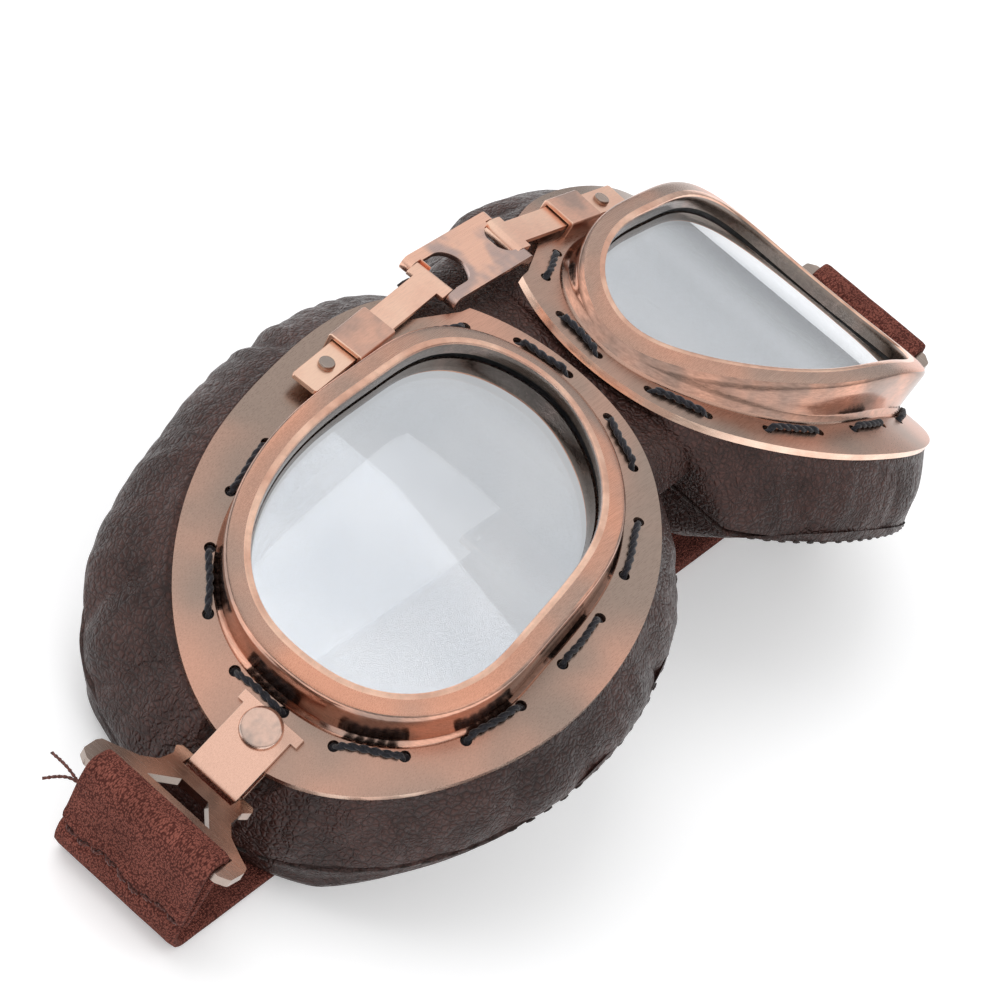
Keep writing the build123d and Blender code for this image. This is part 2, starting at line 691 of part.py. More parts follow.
def below_rear():
    """Everything behind the cushion's rear face and below the floor."""
    rise = (REAR_HEEL_X + CUT_OVERRUN) * math.tan(math.radians(REAR_SLOPE))
    line = FilletPolyline(
        (-CUT_OVERRUN, 0, rise), (REAR_HEEL_X, 0, 0),
        (REAR_HEEL_X + 2 * CUT_OVERRUN, 0, 0), radius=REAR_HEEL_R,
    )
    line += Polyline(
        (REAR_HEEL_X + 2 * CUT_OVERRUN, 0, 0), (REAR_HEEL_X + 2 * CUT_OVERRUN, 0, -CUT_OVERRUN),
        (-CUT_OVERRUN, 0, -CUT_OVERRUN), (-CUT_OVERRUN, 0, rise),
    )
    return across(make_face(line))


def below_cheek():
    """Everything behind the plane that lifts the cheek side of the cushion."""
    rise_x = math.tan(math.radians(REAR_SLOPE))
    rise_y = math.tan(math.radians(REAR_CHEEK_SLOPE))
    plane = Plane(origin=(REAR_HEEL_X, REAR_CHEEK_Y, 0), z_dir=(rise_x, rise_y, 1))
    size = 4 * CUT_OVERRUN
    return plane * (Pos(0, 0, -size / 2) * Box(size, size, size))


def bracket_pocket():
    """Room in the leather for the bracket's lower leaf, its fold and the rivet's tail."""
    depth = PLATE_THICKNESS + BRACKET_THICKNESS + RIVET_TAIL_HEIGHT + 2 * SOFT_GAP
    length = BRACKET_BACK + BRACKET_OUT + 4 * BRACKET_THICKNESS
    width = BRACKET_WIDTH + 2 * SOFT_GAP
    box = Pos(length / 2 - BRACKET_BACK - SOFT_GAP, 0, -depth / 2) * Box(length, width, depth)
    return bracket_plane() * box


def strap_dent(layers):
    """Dent that the strap presses into the cushion where it lies on it."""
    height = STRAP_FLOOR_GAP + layers * (STRAP_THICKNESS + STRAP_GAP) + SOFT_GAP
    box = Box(2 * PLATE_LENGTH, STRAP_WIDTH + 2 * SOFT_GAP, 2 * height)
    return Pos(PLATE_LENGTH, TEMPLE_Y, 0) * box


def make_side_leather(body):
    layer = bent_slab(-PLATE_THICKNESS, -SEAM_DEPTH)
    leather = body & layer
    return leather - [eye_hollow(CUSHION_HOLE_GROW, LEATHER_NASAL_WALL), bracket_pocket()]


def make_face_pad(body, layers):
    layer = bent_slab(-SEAM_DEPTH, -2 * CUT_OVERRUN)
    pad = body & layer
    hollow = eye_hollow(PAD_HOLE_GROW, PAD_NASAL_WALL)
    return pad - [hollow, below_rear(), below_cheek(), strap_dent(layers)]


def make_nose_leather():
    """Leather between the two cushions, under the link."""
    half = NOSE_HALF_WIDTH - SOFT_GAP
    top = NOSE_LEATHER_TOP_Z
    low = top - NOSE_LEATHER_THICKNESS
    narrow = half - (top - NOSE_HEIGHT) * NOSE_LEAN
    wide = half + (NOSE_HEIGHT - low) * NOSE_LEAN
    profile = Polyline(
        (-narrow, 0, top), (narrow, 0, top), (wide, 0, low),
        (wide - NOSE_LEATHER_THICKNESS / 4, 0, low),
        (0, 0, top - NOSE_LEATHER_THICKNESS / 3),
        (-wide + NOSE_LEATHER_THICKNESS / 4, 0, low), (-wide, 0, low), close=True,
    )
    middle = (NOSE_LEATHER_HIGH_Y + NOSE_LEATHER_LOW_Y) / 2
    half_length = (NOSE_LEATHER_HIGH_Y - NOSE_LEATHER_LOW_Y) / 2
    solid = extrude(make_face(profile), amount=half_length, dir=(0, 1, 0), both=True)
    return Pos(0, middle, 0) * solid


def make_cup():
    """Every piece of one cup and its half of the bridge, on the +X side."""
    loop = make_slide_loop()
    rivet_hole = bracket_plane() * Cylinder(RIVET_SHANK_R, 4 * PLATE_THICKNESS)
    cushion = cushion_outer() - nose_wedge()
    return {
        "frame_plate": make_frame_plate(loop, rivet_hole),
        "bezel": make_bezel(),
        "lens": make_lens(),
        "lens_gasket": make_gasket(),
        "lens_retainer": make_retainer(),
        "frame_stitching": make_stitching(),
        "slide_loop": loop,
        "slide_strip": make_strip(),
        "strip_stop": make_strip_stop(),
        "hinge_pin": make_hinge_pin(),
        "strap_bracket": make_bracket(),
        "bracket_rivet": make_rivet(),
        "buckle_plate": make_buckle(),
        "side_leather": make_side_leather(cushion),
        "cushion_body": cushion,
    }


def write(node, shape):
    export_step(Pos(0, MIDDLE_SHIFT_Y, 0) * shape, os.path.join("parts", node + ".step"))


def main():
    os.makedirs("parts", exist_ok=True)
    cup = make_cup()
    cushion = cup.pop("cushion_body")
    for name, shape in cup.items():
        write("left_" + name, shape)
        write("right_" + name, mirror(shape, about=Plane.YZ))
    write("left_face_pad", make_face_pad(cushion, layers=2))
    write("right_face_pad", mirror(make_face_pad(cushion, layers=1), about=Plane.YZ))
    write("bridge_link", make_link())
    write("nose_leather", make_nose_leather())
    write("elastic_strap", make_strap())
    write("strap_adjuster", make_adjuster())


main()
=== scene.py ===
import bpy, bmesh, json, math
import numpy as np
from mathutils import Matrix, Vector, noise


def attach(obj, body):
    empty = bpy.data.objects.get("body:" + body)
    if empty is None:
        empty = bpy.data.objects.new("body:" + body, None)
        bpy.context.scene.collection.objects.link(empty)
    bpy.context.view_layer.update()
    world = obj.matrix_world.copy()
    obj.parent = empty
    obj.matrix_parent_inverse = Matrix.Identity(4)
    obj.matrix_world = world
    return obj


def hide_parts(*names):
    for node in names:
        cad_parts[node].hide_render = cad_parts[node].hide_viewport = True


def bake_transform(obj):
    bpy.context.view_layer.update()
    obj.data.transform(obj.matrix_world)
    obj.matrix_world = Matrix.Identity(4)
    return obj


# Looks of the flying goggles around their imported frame. Lengths are in millimetres
# until a point is placed, and side is 1 for the wearer's left cup and -1 for the right one.
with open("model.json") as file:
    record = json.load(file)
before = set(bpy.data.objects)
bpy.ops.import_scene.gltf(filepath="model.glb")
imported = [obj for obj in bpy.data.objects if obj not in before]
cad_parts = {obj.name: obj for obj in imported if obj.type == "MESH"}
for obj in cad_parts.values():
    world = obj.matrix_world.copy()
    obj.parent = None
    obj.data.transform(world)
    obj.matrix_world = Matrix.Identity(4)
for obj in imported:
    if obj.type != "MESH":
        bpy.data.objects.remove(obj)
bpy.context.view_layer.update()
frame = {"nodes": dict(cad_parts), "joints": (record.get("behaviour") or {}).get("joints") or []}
mm = 0.001
sides = {"left": 1, "right": -1}
joints = {joint["name"]: joint for joint in frame["joints"]}
print("frame loaded:", len(frame["nodes"]), "nodes")

# ---- the cup's own lines

plate = {
    "tilt": 24.0, "edgeX": 2.3, "edgeZ": 52.5, "edgeAngle": 1.0,
    "nasalBend": 223.0, "templeBend": 109.5, "bendLength": 37.0,
    "length": 97.4, "height": 75.4, "shiftY": -2.0, "reaches": (-12, 126, 0.5),
    "outline": [
        (1.0, -0.06), (0.971, 0.11), (0.895, 0.256), (0.776, 0.381), (0.637, 0.458),
        (0.462, 0.495), (0.279, 0.5), (0.132, 0.436), (0.033, 0.281), (0.0, 0.076),
        (0.045, -0.143), (0.15, -0.296), (0.277, -0.405), (0.431, -0.478), (0.595, -0.5),
        (0.75, -0.457), (0.883, -0.355), (0.971, -0.21)],
    "bulgeShares": [1.1, 1.7, 2.4, 2.3, 1.7, 1.75, 1.55, 1.45, 1.05] + [1.0] * 9,
    "bulgeSmoothing": 30, "spots": 360,
}
opening = {
    "middle": (44.6, -1.1), "length": 71.0, "height": 46.8,
    "crownRadius": 88.0, "crownX": 31.0, "crownZ": 57.5, "spots": 240,
    "outline": [
        (0.5, -0.04), (0.486, 0.16), (0.404, 0.343), (0.265, 0.455), (0.08, 0.5),
        (-0.13, 0.498), (-0.318, 0.48), (-0.445, 0.37), (-0.5, 0.16), (-0.45, -0.06),
        (-0.331, -0.27), (-0.2, -0.395), (-0.04, -0.46), (0.13, -0.49), (0.27, -0.495),
        (0.4, -0.405), (0.48, -0.22)],
}
curveSteps = 40  # points from one corner of an outline to the next
tiltSin, tiltCos = math.sin(math.radians(plate["tilt"])), math.cos(math.radians(plate["tilt"]))


def bendAt(reach):
    # place and slope of the plate's middle, at a reach along its two bends
    first = math.radians(plate["edgeAngle"])
    if reach <= plate["bendLength"]:
        radius, start, startX, startZ = plate["nasalBend"], first, plate["edgeX"], plate["edgeZ"]
        angle = first + reach / radius
    else:
        radius = plate["templeBend"]
        startX, startZ, start = bendAt(plate["bendLength"])
        angle = start + (reach - plate["bendLength"]) / radius
    x = startX + radius * (math.sin(angle) - math.sin(start))
    z = startZ + radius * (math.cos(angle) - math.cos(start))
    return x, z, angle


def ontoCup(x, z):
    # from the frame's axes to the tilted cup's own, and offCup back
    dx, dz = x - plate["edgeX"], z - plate["edgeZ"]
    return dx * tiltCos - dz * tiltSin, dx * tiltSin + dz * tiltCos


def offCup(u, level):
    x = plate["edgeX"] + u * tiltCos + level * tiltSin
    z = plate["edgeZ"] - u * tiltSin + level * tiltCos
    return x, z


bendX, bendZ, bendAngle = np.array([bendAt(reach) for reach in np.arange(*plate["reaches"])]).T
plateU, plateW = ontoCup(bendX, bendZ)
plateStretch = 1 / np.cos(bendAngle - math.radians(plate["tilt"]))


def plateLevel(u, height=0.0):
    return np.interp(u, plateU, plateW) + height * np.interp(u, plateU, plateStretch)


def crownLevel(u, depth):
    a = plate["edgeX"] + u * tiltCos - opening["crownX"]
    b = plate["edgeZ"] - u * tiltSin - (opening["crownZ"] - opening["crownRadius"])
    half = a * tiltSin + b * tiltCos
    radius = opening["crownRadius"] - depth
    return -half + np.sqrt(half * half - a * a - b * b + radius * radius)


def closedCurve(points, perSpan):
    # smooth closed curve through the points, the same one that the frame was cut with
    spots = np.array(points, float)
    count = len(spots)
    spans = np.linalg.norm(np.roll(spots, -1, 0) - spots, axis=1)
    matrix, right = np.zeros((count, count)), np.zeros((count, 2))
    for i in range(count):
        before, after = spans[i - 1], spans[i]
        matrix[i, i - 1] += before
        matrix[i, i] += 2 * (before + after)
        matrix[i, (i + 1) % count] += after
        right[i] = 6 * ((spots[(i + 1) % count] - spots[i]) / after
                        - (spots[i] - spots[i - 1]) / before)
    curve = np.linalg.solve(matrix, right)
    line = []
    for i in range(count):
        j, span = (i + 1) % count, spans[i]
        for step in range(perSpan):
            t = step / perSpan
            s = 1 - t
            line.append(spots[i] * s + spots[j] * t + span * span / 6 * (
                (s ** 3 - s) * curve[i] + (t ** 3 - t) * curve[j]))
    return np.array(line)


def outward(line):
    # which way is out, at each point of a closed line
    along = np.roll(line, -1, 0) - np.roll(line, 1, 0)
    along /= np.linalg.norm(along, axis=1)[:, None]
    return np.stack([along[:, 1], -along[:, 0]], 1)


def reachesOf(line):
    # how far along the line each of its points lies
    return np.concatenate([[0], np.cumsum(np.linalg.norm(np.diff(line, axis=0), axis=1))])


def evenly(line, count):
    closed = np.vstack([line, line[:1]])
    steps = reachesOf(closed)
    spots = np.linspace(0, steps[-1], count, endpoint=False)
    return np.stack([np.interp(spots, steps, closed[:, i]) for i in (0, 1)], 1), steps[-1]


plateCurve = closedCurve([(ontoCup(*bendAt(u * plate["length"])[:2])[0], v * plate["height"])
                          for u, v in plate["outline"]], curveSteps)
plateLine, plateRound = evenly(plateCurve, plate["spots"])
plateOut = outward(plateLine)
plateMap = [plateRound * i / plate["spots"] for i in range(plate["spots"] + 1)]
plateBulge = np.interp(plateMap[:-1], reachesOf(plateCurve)[::curveSteps],
                       plate["bulgeShares"], period=plateRound)
for _ in range(plate["bulgeSmoothing"]):
    plateBulge = (np.roll(plateBulge, 1) + 2 * plateBulge + np.roll(plateBulge, -1)) / 4
openingCurve = closedCurve(
    [(opening["middle"][0] + u * opening["length"], opening["middle"][1] + v * opening["height"])
     for u, v in opening["outline"]], curveSteps)
openingLine = evenly(openingCurve, opening["spots"])[0]
openingOut = outward(openingLine)


def facing(grow):
    # opening's line at the same bearings as the plate's line, moved out by grow
    line = openingCurve + outward(openingCurve) * grow
    middle = np.array(opening["middle"])
    bearing = np.arctan2(line[:, 1] - middle[1], line[:, 0] - middle[0])
    order = np.argsort(bearing)
    reach = np.linalg.norm(line - middle, axis=1)[order]
    wanted = np.arctan2(plateLine[:, 1] - middle[1], plateLine[:, 0] - middle[0])
    size = np.interp(wanted, bearing[order], reach, period=2 * math.pi)
    return middle + np.stack([np.cos(wanted), np.sin(wanted)], 1) * size[:, None]


def spotOf(side, point):
    # a point in millimetres on the left side becomes a point of the frame
    return Vector((side * point[0], point[1] + plate["shiftY"], point[2])) * mm


def place(side, u, v, level):
    x, z = offCup(u, level)
    return spotOf(side, (x, v, z))


def softMax(a, b, width):
    # the larger of the two, rounded where they meet
    gap = max(width - abs(a - b), 0) / width
    return max(a, b) + gap * gap * width / 4


def smoothStep(value):
    value = min(max(value, 0), 1)
    return value * value * (3 - 2 * value)


# ---- mesh helpers

def ringMesh(rings, roundLoop=True, shut=False, capped=False):
    # each ring is extruded from the one before it and moved to its place
    mesh = bmesh.new()
    ringLayer, spotLayer = mesh.verts.layers.int.new("ring"), mesh.verts.layers.int.new("spot")
    loop = [mesh.verts.new(point) for point in rings[0]]
    pairs = zip(loop, loop[1:] + (loop[:1] if roundLoop else []))
    edges = [mesh.edges.new(pair) for pair in pairs]
    first = list(edges)
    for number, ring in enumerate(rings):
        if number:
            made = bmesh.ops.extrude_edge_only(mesh, edges=edges)["geom"]
            fresh = {part for part in made if isinstance(part, bmesh.types.BMVert)}
            edges = [part for part in made
                     if isinstance(part, bmesh.types.BMEdge) and set(part.verts) <= fresh]
            loop = [next(edge.other_vert(vert) for edge in vert.link_edges
                         if edge.other_vert(vert) in fresh) for vert in loop]
        for spot, (vert, point) in enumerate(zip(loop, ring)):
            vert.co, vert[ringLayer], vert[spotLayer] = point, number, spot
    if shut:
        bmesh.ops.bridge_loops(mesh, edges=first + edges)
    if capped:
        bmesh.ops.holes_fill(mesh, edges=first + edges, sides=0)
    return mesh


def addMesh(target, mesh):
    data = bpy.data.meshes.new("piece")
    mesh.to_mesh(data)
    mesh.free()
    target.from_mesh(data)
    bpy.data.meshes.remove(data)


def cordMesh(points, radius, pitch, sides):
    # two twisted plies round one line of points, pressed into each other
    plyShift = radius * 0.62
    joined = bmesh.new()
    for ply in range(2):
        rings, reach = [], 0.0
        for number, point in enumerate(points):
            before, after = points[max(number - 1, 0)], points[min(number + 1, len(points) - 1)]
            along = (after - before).normalized()
            first = along.orthogonal() if not rings else (first - along * first.dot(along))
            first.normalize()
            second = along.cross(first)
            reach += (point - before).length
            turn = 2 * math.pi * (reach / pitch + ply / 2)
            middle = point + (first * math.cos(turn) + second * math.sin(turn)) * plyShift
            rings.append([middle + (first * math.cos(a) + second * math.sin(a)) * radius
                          for a in [2 * math.pi * i / sides for i in range(sides)]])
        mesh = ringMesh(rings, capped=True)
        bmesh.ops.recalc_face_normals(mesh, faces=mesh.faces)
        addMesh(joined, mesh)
    return joined


def addBead(mesh, spot, turn, size, parts):
    # small ball, squashed to its size in millimetres and turned
    shape = Matrix.Diagonal([value * mm for value in size] + [1])
    bmesh.ops.create_uvsphere(mesh, u_segments=parts[0], v_segments=parts[1], radius=1.0,
                              matrix=Matrix.Translation(spot) @ turn @ shape)


def addUv(mesh, around, down):
    # the map is in millimetres: around the piece, and down it
    ringLayer, spotLayer = mesh.verts.layers.int["ring"], mesh.verts.layers.int["spot"]
    uvLayer = mesh.loops.layers.uv.new("UVMap")
    last = len(around) - 1
    for face in mesh.faces:
        spots = [loop.vert[spotLayer] for loop in face.loops]
        wraps = max(spots) - min(spots) > last / 2
        for loop in face.loops:
            spot = loop.vert[spotLayer]
            if wraps and spot < last / 2:
                spot = last
            loop[uvLayer].uv = (around[spot], down[loop.vert[ringLayer]])


def newObject(name, data):
    item = bpy.data.objects.new(name, data)
    bpy.context.scene.collection.objects.link(item)
    return item


def finish(mesh, name, body, materials, replaced=(), crease=32, flip=True):
    if flip:
        bmesh.ops.recalc_face_normals(mesh, faces=mesh.faces)
    for face in mesh.faces:
        face.smooth = True
    for edge in mesh.edges:
        edge.smooth = edge.calc_face_angle(0) < math.radians(crease) if edge.is_manifold else True
    data = bpy.data.meshes.new(name)
    mesh.to_mesh(data)
    mesh.free()
    if "custom_normal" in data.attributes:
        data.attributes.remove(data.attributes["custom_normal"])
    piece = newObject(name, data)
    for material in materials:
        data.materials.append(material)
    if body:
        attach(piece, body)
    if replaced:
        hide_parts(*replaced)
    return piece


def edgedCopy(nodeName, body, bevel, finishes, edgeOn=None):
    # copy of a frame piece with rounded edges: one metal for its faces, one for its edges; the
    # edge metal, mostly brighter, is partly rubbed wear and partly a painted highlight
    flat, sharp = math.radians(0.4), math.radians(30)
    mesh = bmesh.new()
    mesh.from_mesh(frame["nodes"][nodeName].data)
    bmesh.ops.remove_doubles(mesh, verts=mesh.verts, dist=1e-6)
    bmesh.ops.dissolve_limit(mesh, angle_limit=flat, verts=mesh.verts, edges=mesh.edges)
    if edgeOn:
        for face in mesh.faces:
            face.material_index = 1 if edgeOn(face) else 0
    edges = [edge for edge in mesh.edges
             if edge.is_manifold and edge.calc_face_angle(0) > sharp]
    made = bmesh.ops.bevel(
        mesh, geom=edges, offset=bevel * mm, offset_type="OFFSET", segments=2, profile=0.5,
        affect="EDGES", clamp_overlap=True, material=-1)
    for face in made["faces"]:
        face.material_index = 1
    piece = finish(mesh, nodeName + "_shown", body, [metal[key] for key in finishes],
                   (nodeName,), flip=False)
    weighted = piece.modifiers.new("even shading", "WEIGHTED_NORMAL")
    weighted.keep_sharp = True


# ---- material helpers

def newMaterial(name, **values):
    material = bpy.data.materials.new(name)
    material.use_nodes = True
    tree = material.node_tree
    shader = tree.nodes["Principled BSDF"]
    for key, value in values.items():
        shader.inputs[key.replace("_", " ")].default_value = value
    return material, tree, shader


def addNode(tree, kind, sockets, **settings):
    node = tree.nodes.new("ShaderNode" + kind)
    for key, value in settings.items():
        setattr(node, key, value)
    for key, value in sockets.items():
        if isinstance(value, bpy.types.NodeSocket):
            tree.links.new(value, node.inputs[key])
        else:
            node.inputs[key].default_value = value
    return node


def pattern(tree, kind, source, scale, turn=(0, 0, 0), **sockets):
    # a texture on object or map coordinates, with its own scale on each axis
    coords = addNode(tree, "TexCoord", {})
    spot = addNode(tree, "Mapping", {"Vector": coords.outputs[source], "Rotation": turn,
                                     "Scale": scale})
    return addNode(tree, kind, {"Vector": spot.outputs[0], **sockets})


def evenNoise(tree, scale, detail, **sockets):
    # noise that is the same along each axis of the piece
    return pattern(tree, "TexNoise", "Object", (1, 1, 1), Scale=scale, Detail=detail,
                   **sockets).outputs[0]


def ramp(tree, value, low, high, toLow=0.0, toHigh=1.0):
    # smooth step from low and below to high and above
    node = addNode(tree, "MapRange", {
        "Value": value, "From Min": low, "From Max": high, "To Min": toLow, "To Max": toHigh},
        interpolation_type="SMOOTHSTEP")
    return node.outputs[0]


def mixColour(tree, factor, first, second, blend="MIX"):
    node = addNode(tree, "Mix", {}, data_type="RGBA", blend_type=blend)
    for socket, value in zip((node.inputs[0], node.inputs[6], node.inputs[7]),
                             (factor, first, second)):
        if isinstance(value, bpy.types.NodeSocket):
            tree.links.new(value, socket)
        elif socket == node.inputs[0]:
            socket.default_value = value
        else:
            socket.default_value = (*value, 1.0)
    return node.outputs[2]


def darken(tree, colour, shade):
    return mixColour(tree, 1.0, colour, shade, "MULTIPLY")


def combine(tree, first, second, kind="ADD"):
    return addNode(tree, "Math", {0: first, 1: second}, operation=kind).outputs[0]


def feed(shader, socket, value):
    shader.id_data.links.new(value, shader.inputs[socket])


def addBump(tree, shader, height, strength, distance):
    bump = addNode(tree, "Bump", {"Height": height, "Strength": strength,
                                  "Distance": distance * mm})
    feed(shader, "Normal", bump.outputs[0])


brushing = {
    "speckScale": 2200.0, "speckRange": (0.7, 0.82), "lineRange": (0.3, 0.7), "lineLight": 1.04,
    "roughRange": (0.2, 0.8), "roughSpread": 0.05, "depth": 0.01,
}


def brushedMetal(name, row):
    values = dict(zip(metalKeys, row))
    material, tree, shader = newMaterial(name, Metallic=1.0)
    patches = evenNoise(tree, values["patchScale"], 3.0, Roughness=0.55)
    lines = pattern(tree, "TexNoise", "Object", values["brushScale"],
                    turn=(0, 0, values["brushTurn"]), Scale=1.0, Detail=3.0,
                    Roughness=0.65).outputs[0]
    specks = evenNoise(tree, brushing["speckScale"], 2.0)
    wear = ramp(tree, patches, *values["patchRange"])
    colour = mixColour(tree, wear, values["worn"], values["copper"])
    colour = darken(tree, colour, ramp(tree, lines, *brushing["lineRange"], values["lineDark"],
                                       brushing["lineLight"]))
    colour = darken(tree, colour, ramp(tree, specks, *brushing["speckRange"], 1.0,
                                       values["dust"]))
    feed(shader, "Base Color", colour)
    rough, spread = values["rough"], brushing["roughSpread"]
    feed(shader, "Roughness", ramp(tree, lines, *brushing["roughRange"], rough - spread,
                                   rough + spread))
    addBump(tree, shader, lines, values["bump"], brushing["depth"])
    return material


alongX, alongY = (170, 5200, 5200), (5200, 170, 5200)
metalKeys = ("worn", "copper", "rough", "patchScale", "patchRange", "lineDark", "bump",
             "brushScale", "brushTurn", "dust")
# metals used on edges (plateEdge, rimEdge, stripMetal, rivetMetal, buckleEdge) are mostly brighter
# than the faces they edge: partly wear, partly painted highlight
metals = {
    "plateFace": ((0.39, 0.295, 0.245), (0.72, 0.40, 0.295), 0.3, 20.0, (0.4, 0.62), 0.86, 0.15,
                  alongX, 0.25, 0.85),
    "plateEdge": ((0.86, 0.54, 0.41), (1.0, 0.74, 0.59), 0.2, 120.0, (0.35, 0.65), 0.9, 0.1,
                  (500, 500, 3200), 0, 0.85),
    "rimTop": ((0.46, 0.325, 0.265), (0.82, 0.40, 0.27), 0.27, 24.0, (0.36, 0.62), 0.84, 0.15,
               alongX, 0.5, 0.8),
    "rimWall": ((0.40, 0.27, 0.22), (0.80, 0.43, 0.31), 0.17, 60.0, (0.42, 0.66), 0.75, 0.1,
                (700, 700, 4200), 0, 0.85),
    "rimEdge": ((0.72, 0.41, 0.3), (0.95, 0.62, 0.47), 0.15, 90.0, (0.35, 0.65), 0.88, 0.05,
                (500, 500, 500), 0, 0.9),
    "stripMetal": ((0.9, 0.55, 0.42), (1.0, 0.68, 0.52), 0.32, 60.0, (0.3, 0.6), 0.94, 0.1,
                   alongX, 0.1, 0.8),
    "loopMetal": ((0.5, 0.345, 0.29), (0.8, 0.47, 0.355), 0.32, 80.0, (0.4, 0.6), 0.9, 0.1,
                  alongX, 0.4, 0.8),
    "linkMetal": ((0.55, 0.405, 0.365), (0.94, 0.57, 0.43), 0.3, 95.0, (0.4, 0.58), 0.93, 0.1,
                  alongX, 0.3, 0.85),
    "bracketMetal": ((0.68, 0.43, 0.335), (0.92, 0.57, 0.44), 0.26, 60.0, (0.38, 0.62), 0.88,
                     0.12, alongX, 0, 0.9),
    "rivetMetal": ((0.50, 0.40, 0.35), (0.80, 0.55, 0.45), 0.22, 200.0, (0.4, 0.6), 0.94, 0.1,
                   (900, 900, 900), 0, 0.85),
    "buckleMetal": ((0.36, 0.3, 0.265), (0.5, 0.39, 0.335), 0.24, 90.0, (0.42, 0.66), 0.97, 0.03,
                    alongY, 0, 0.85),
    "buckleEdge": ((0.66, 0.46, 0.37), (0.92, 0.67, 0.54), 0.2, 130.0, (0.4, 0.7), 0.93, 0.1,
                   (1500, 1500, 1500), 0, 0.9),
    # darker than the rim: painted shade for the rim's inner wall, its underside and the lens
    # retainer
    "innerMetal": ((0.28, 0.235, 0.205), (0.42, 0.31, 0.265), 0.2, 90.0, (0.45, 0.75), 0.85, 0.1,
                   (1200, 1200, 1200), 0, 0.85),
}
metal = {name: brushedMetal(name, row) for name, row in metals.items()}


leatherGrain = {
    "cloudScale": 90.0, "creaseScale": 700.0, "creaseHeight": 0.25, "roughSpread": 0.1,
    "warpScale": 240.0, "warp": 0.0022,
    # small pebbles and large cells: share of the grain's scale, width and painted shade of the
    # valleys, then width and height of the rounding
    "nets": [(1.0, 0.22, 0.55, 0.3, 0.55), (0.4, 0.1, 0.7, 0.16, 0.4)],
}


def leatherMaterial(name, values):
    material, tree, shader = newMaterial(name, Specular_IOR_Level=values["specular"])
    clouds = evenNoise(tree, leatherGrain["cloudScale"], 4.0)
    creases = evenNoise(tree, leatherGrain["creaseScale"], 3.0)
    warp = pattern(tree, "TexNoise", "Object", (1, 1, 1), Scale=leatherGrain["warpScale"],
                   Detail=2.0)
    coords = addNode(tree, "TexCoord", {})
    shift = addNode(tree, "VectorMath", {0: warp.outputs[1], 1: [leatherGrain["warp"]] * 3},
                    operation="MULTIPLY")
    spot = addNode(tree, "VectorMath", {0: coords.outputs["Object"], 1: shift.outputs[0]},
                   operation="ADD")
    colour = mixColour(tree, ramp(tree, clouds, 0.35, 0.65), values["dark"], values["light"])
    height = combine(tree, creases, leatherGrain["creaseHeight"], "MULTIPLY")
    for share, valley, dark, rounding, lift in leatherGrain["nets"]:
        net = addNode(tree, "TexVoronoi", {"Vector": spot.outputs[0],
                                           "Scale": values["grainScale"] * share},
                      feature="DISTANCE_TO_EDGE").outputs[0]
        # the valleys of the grain are darkened: painted shade
        colour = darken(tree, colour, ramp(tree, net, 0.0, valley, dark, 1.0))
        height = combine(tree, height, ramp(tree, net, 0.0, rounding, 0.0, lift))
    gathers = pattern(tree, "TexNoise", "UV", values["gatherScale"], Scale=1.0, Detail=2.0,
                      Distortion=0.6).outputs[0]
    height = combine(tree, height, combine(tree, gathers, values["gather"], "MULTIPLY"))
    feed(shader, "Base Color", colour)
    rough, spread = values["rough"], leatherGrain["roughSpread"]
    feed(shader, "Roughness", ramp(tree, creases, 0.3, 0.7, rough - spread, rough + spread))
    addBump(tree, shader, height, values["bump"], values["bumpDepth"])
    return material


leathers = {
    "brownLeather": {"dark": (0.038, 0.0155, 0.0125), "light": (0.071, 0.031, 0.0255),
                     "rough": 0.38, "specular": 0.32, "grainScale": 1050.0,
                     "gatherScale": (0.34, 0.12, 1.0), "gather": 0.8, "bump": 0.85,
                     "bumpDepth": 0.34},
    "padLeather": {"dark": (0.034, 0.014, 0.0115), "light": (0.062, 0.0275, 0.0225),
                   "rough": 0.4, "specular": 0.3, "grainScale": 1050.0,
                   "gatherScale": (0.3, 0.14, 1.0), "gather": 0.8, "bump": 0.8,
                   "bumpDepth": 0.32},
}
leather = {name: leatherMaterial(name, values) for name, values in leathers.items()}


def threadMaterial(name, colour, light, scale):
    material, tree, shader = newMaterial(
        name, Roughness=0.75, Sheen_Weight=0.3, Specular_IOR_Level=0.3)
    twist = evenNoise(tree, scale, 3.0)
    feed(shader, "Base Color", mixColour(tree, ramp(tree, twist, 0.35, 0.65), colour, light))
    addBump(tree, shader, twist, 0.8, 0.12)
    return material


blackCord = threadMaterial("blackCord", (0.006, 0.006, 0.009), (0.02, 0.02, 0.028), 2600.0)
seamThread = threadMaterial("seamThread", (0.012, 0.007, 0.006), (0.035, 0.02, 0.016), 2600.0)
strapThread = threadMaterial("strapThread", (0.05, 0.014, 0.01), (0.15, 0.046, 0.034), 3000.0)


knit = {
    "loops": (3.3, 2.7, 1.0), "fibres": (3.6, 3.6, 1.0), "bands": (0.16, 0.12, 1.0),
    "loopShare": 0.75, "fibreShare": 0.5, "dark": (0.075, 0.02, 0.0155),
    "light": (0.27, 0.087, 0.064),
}


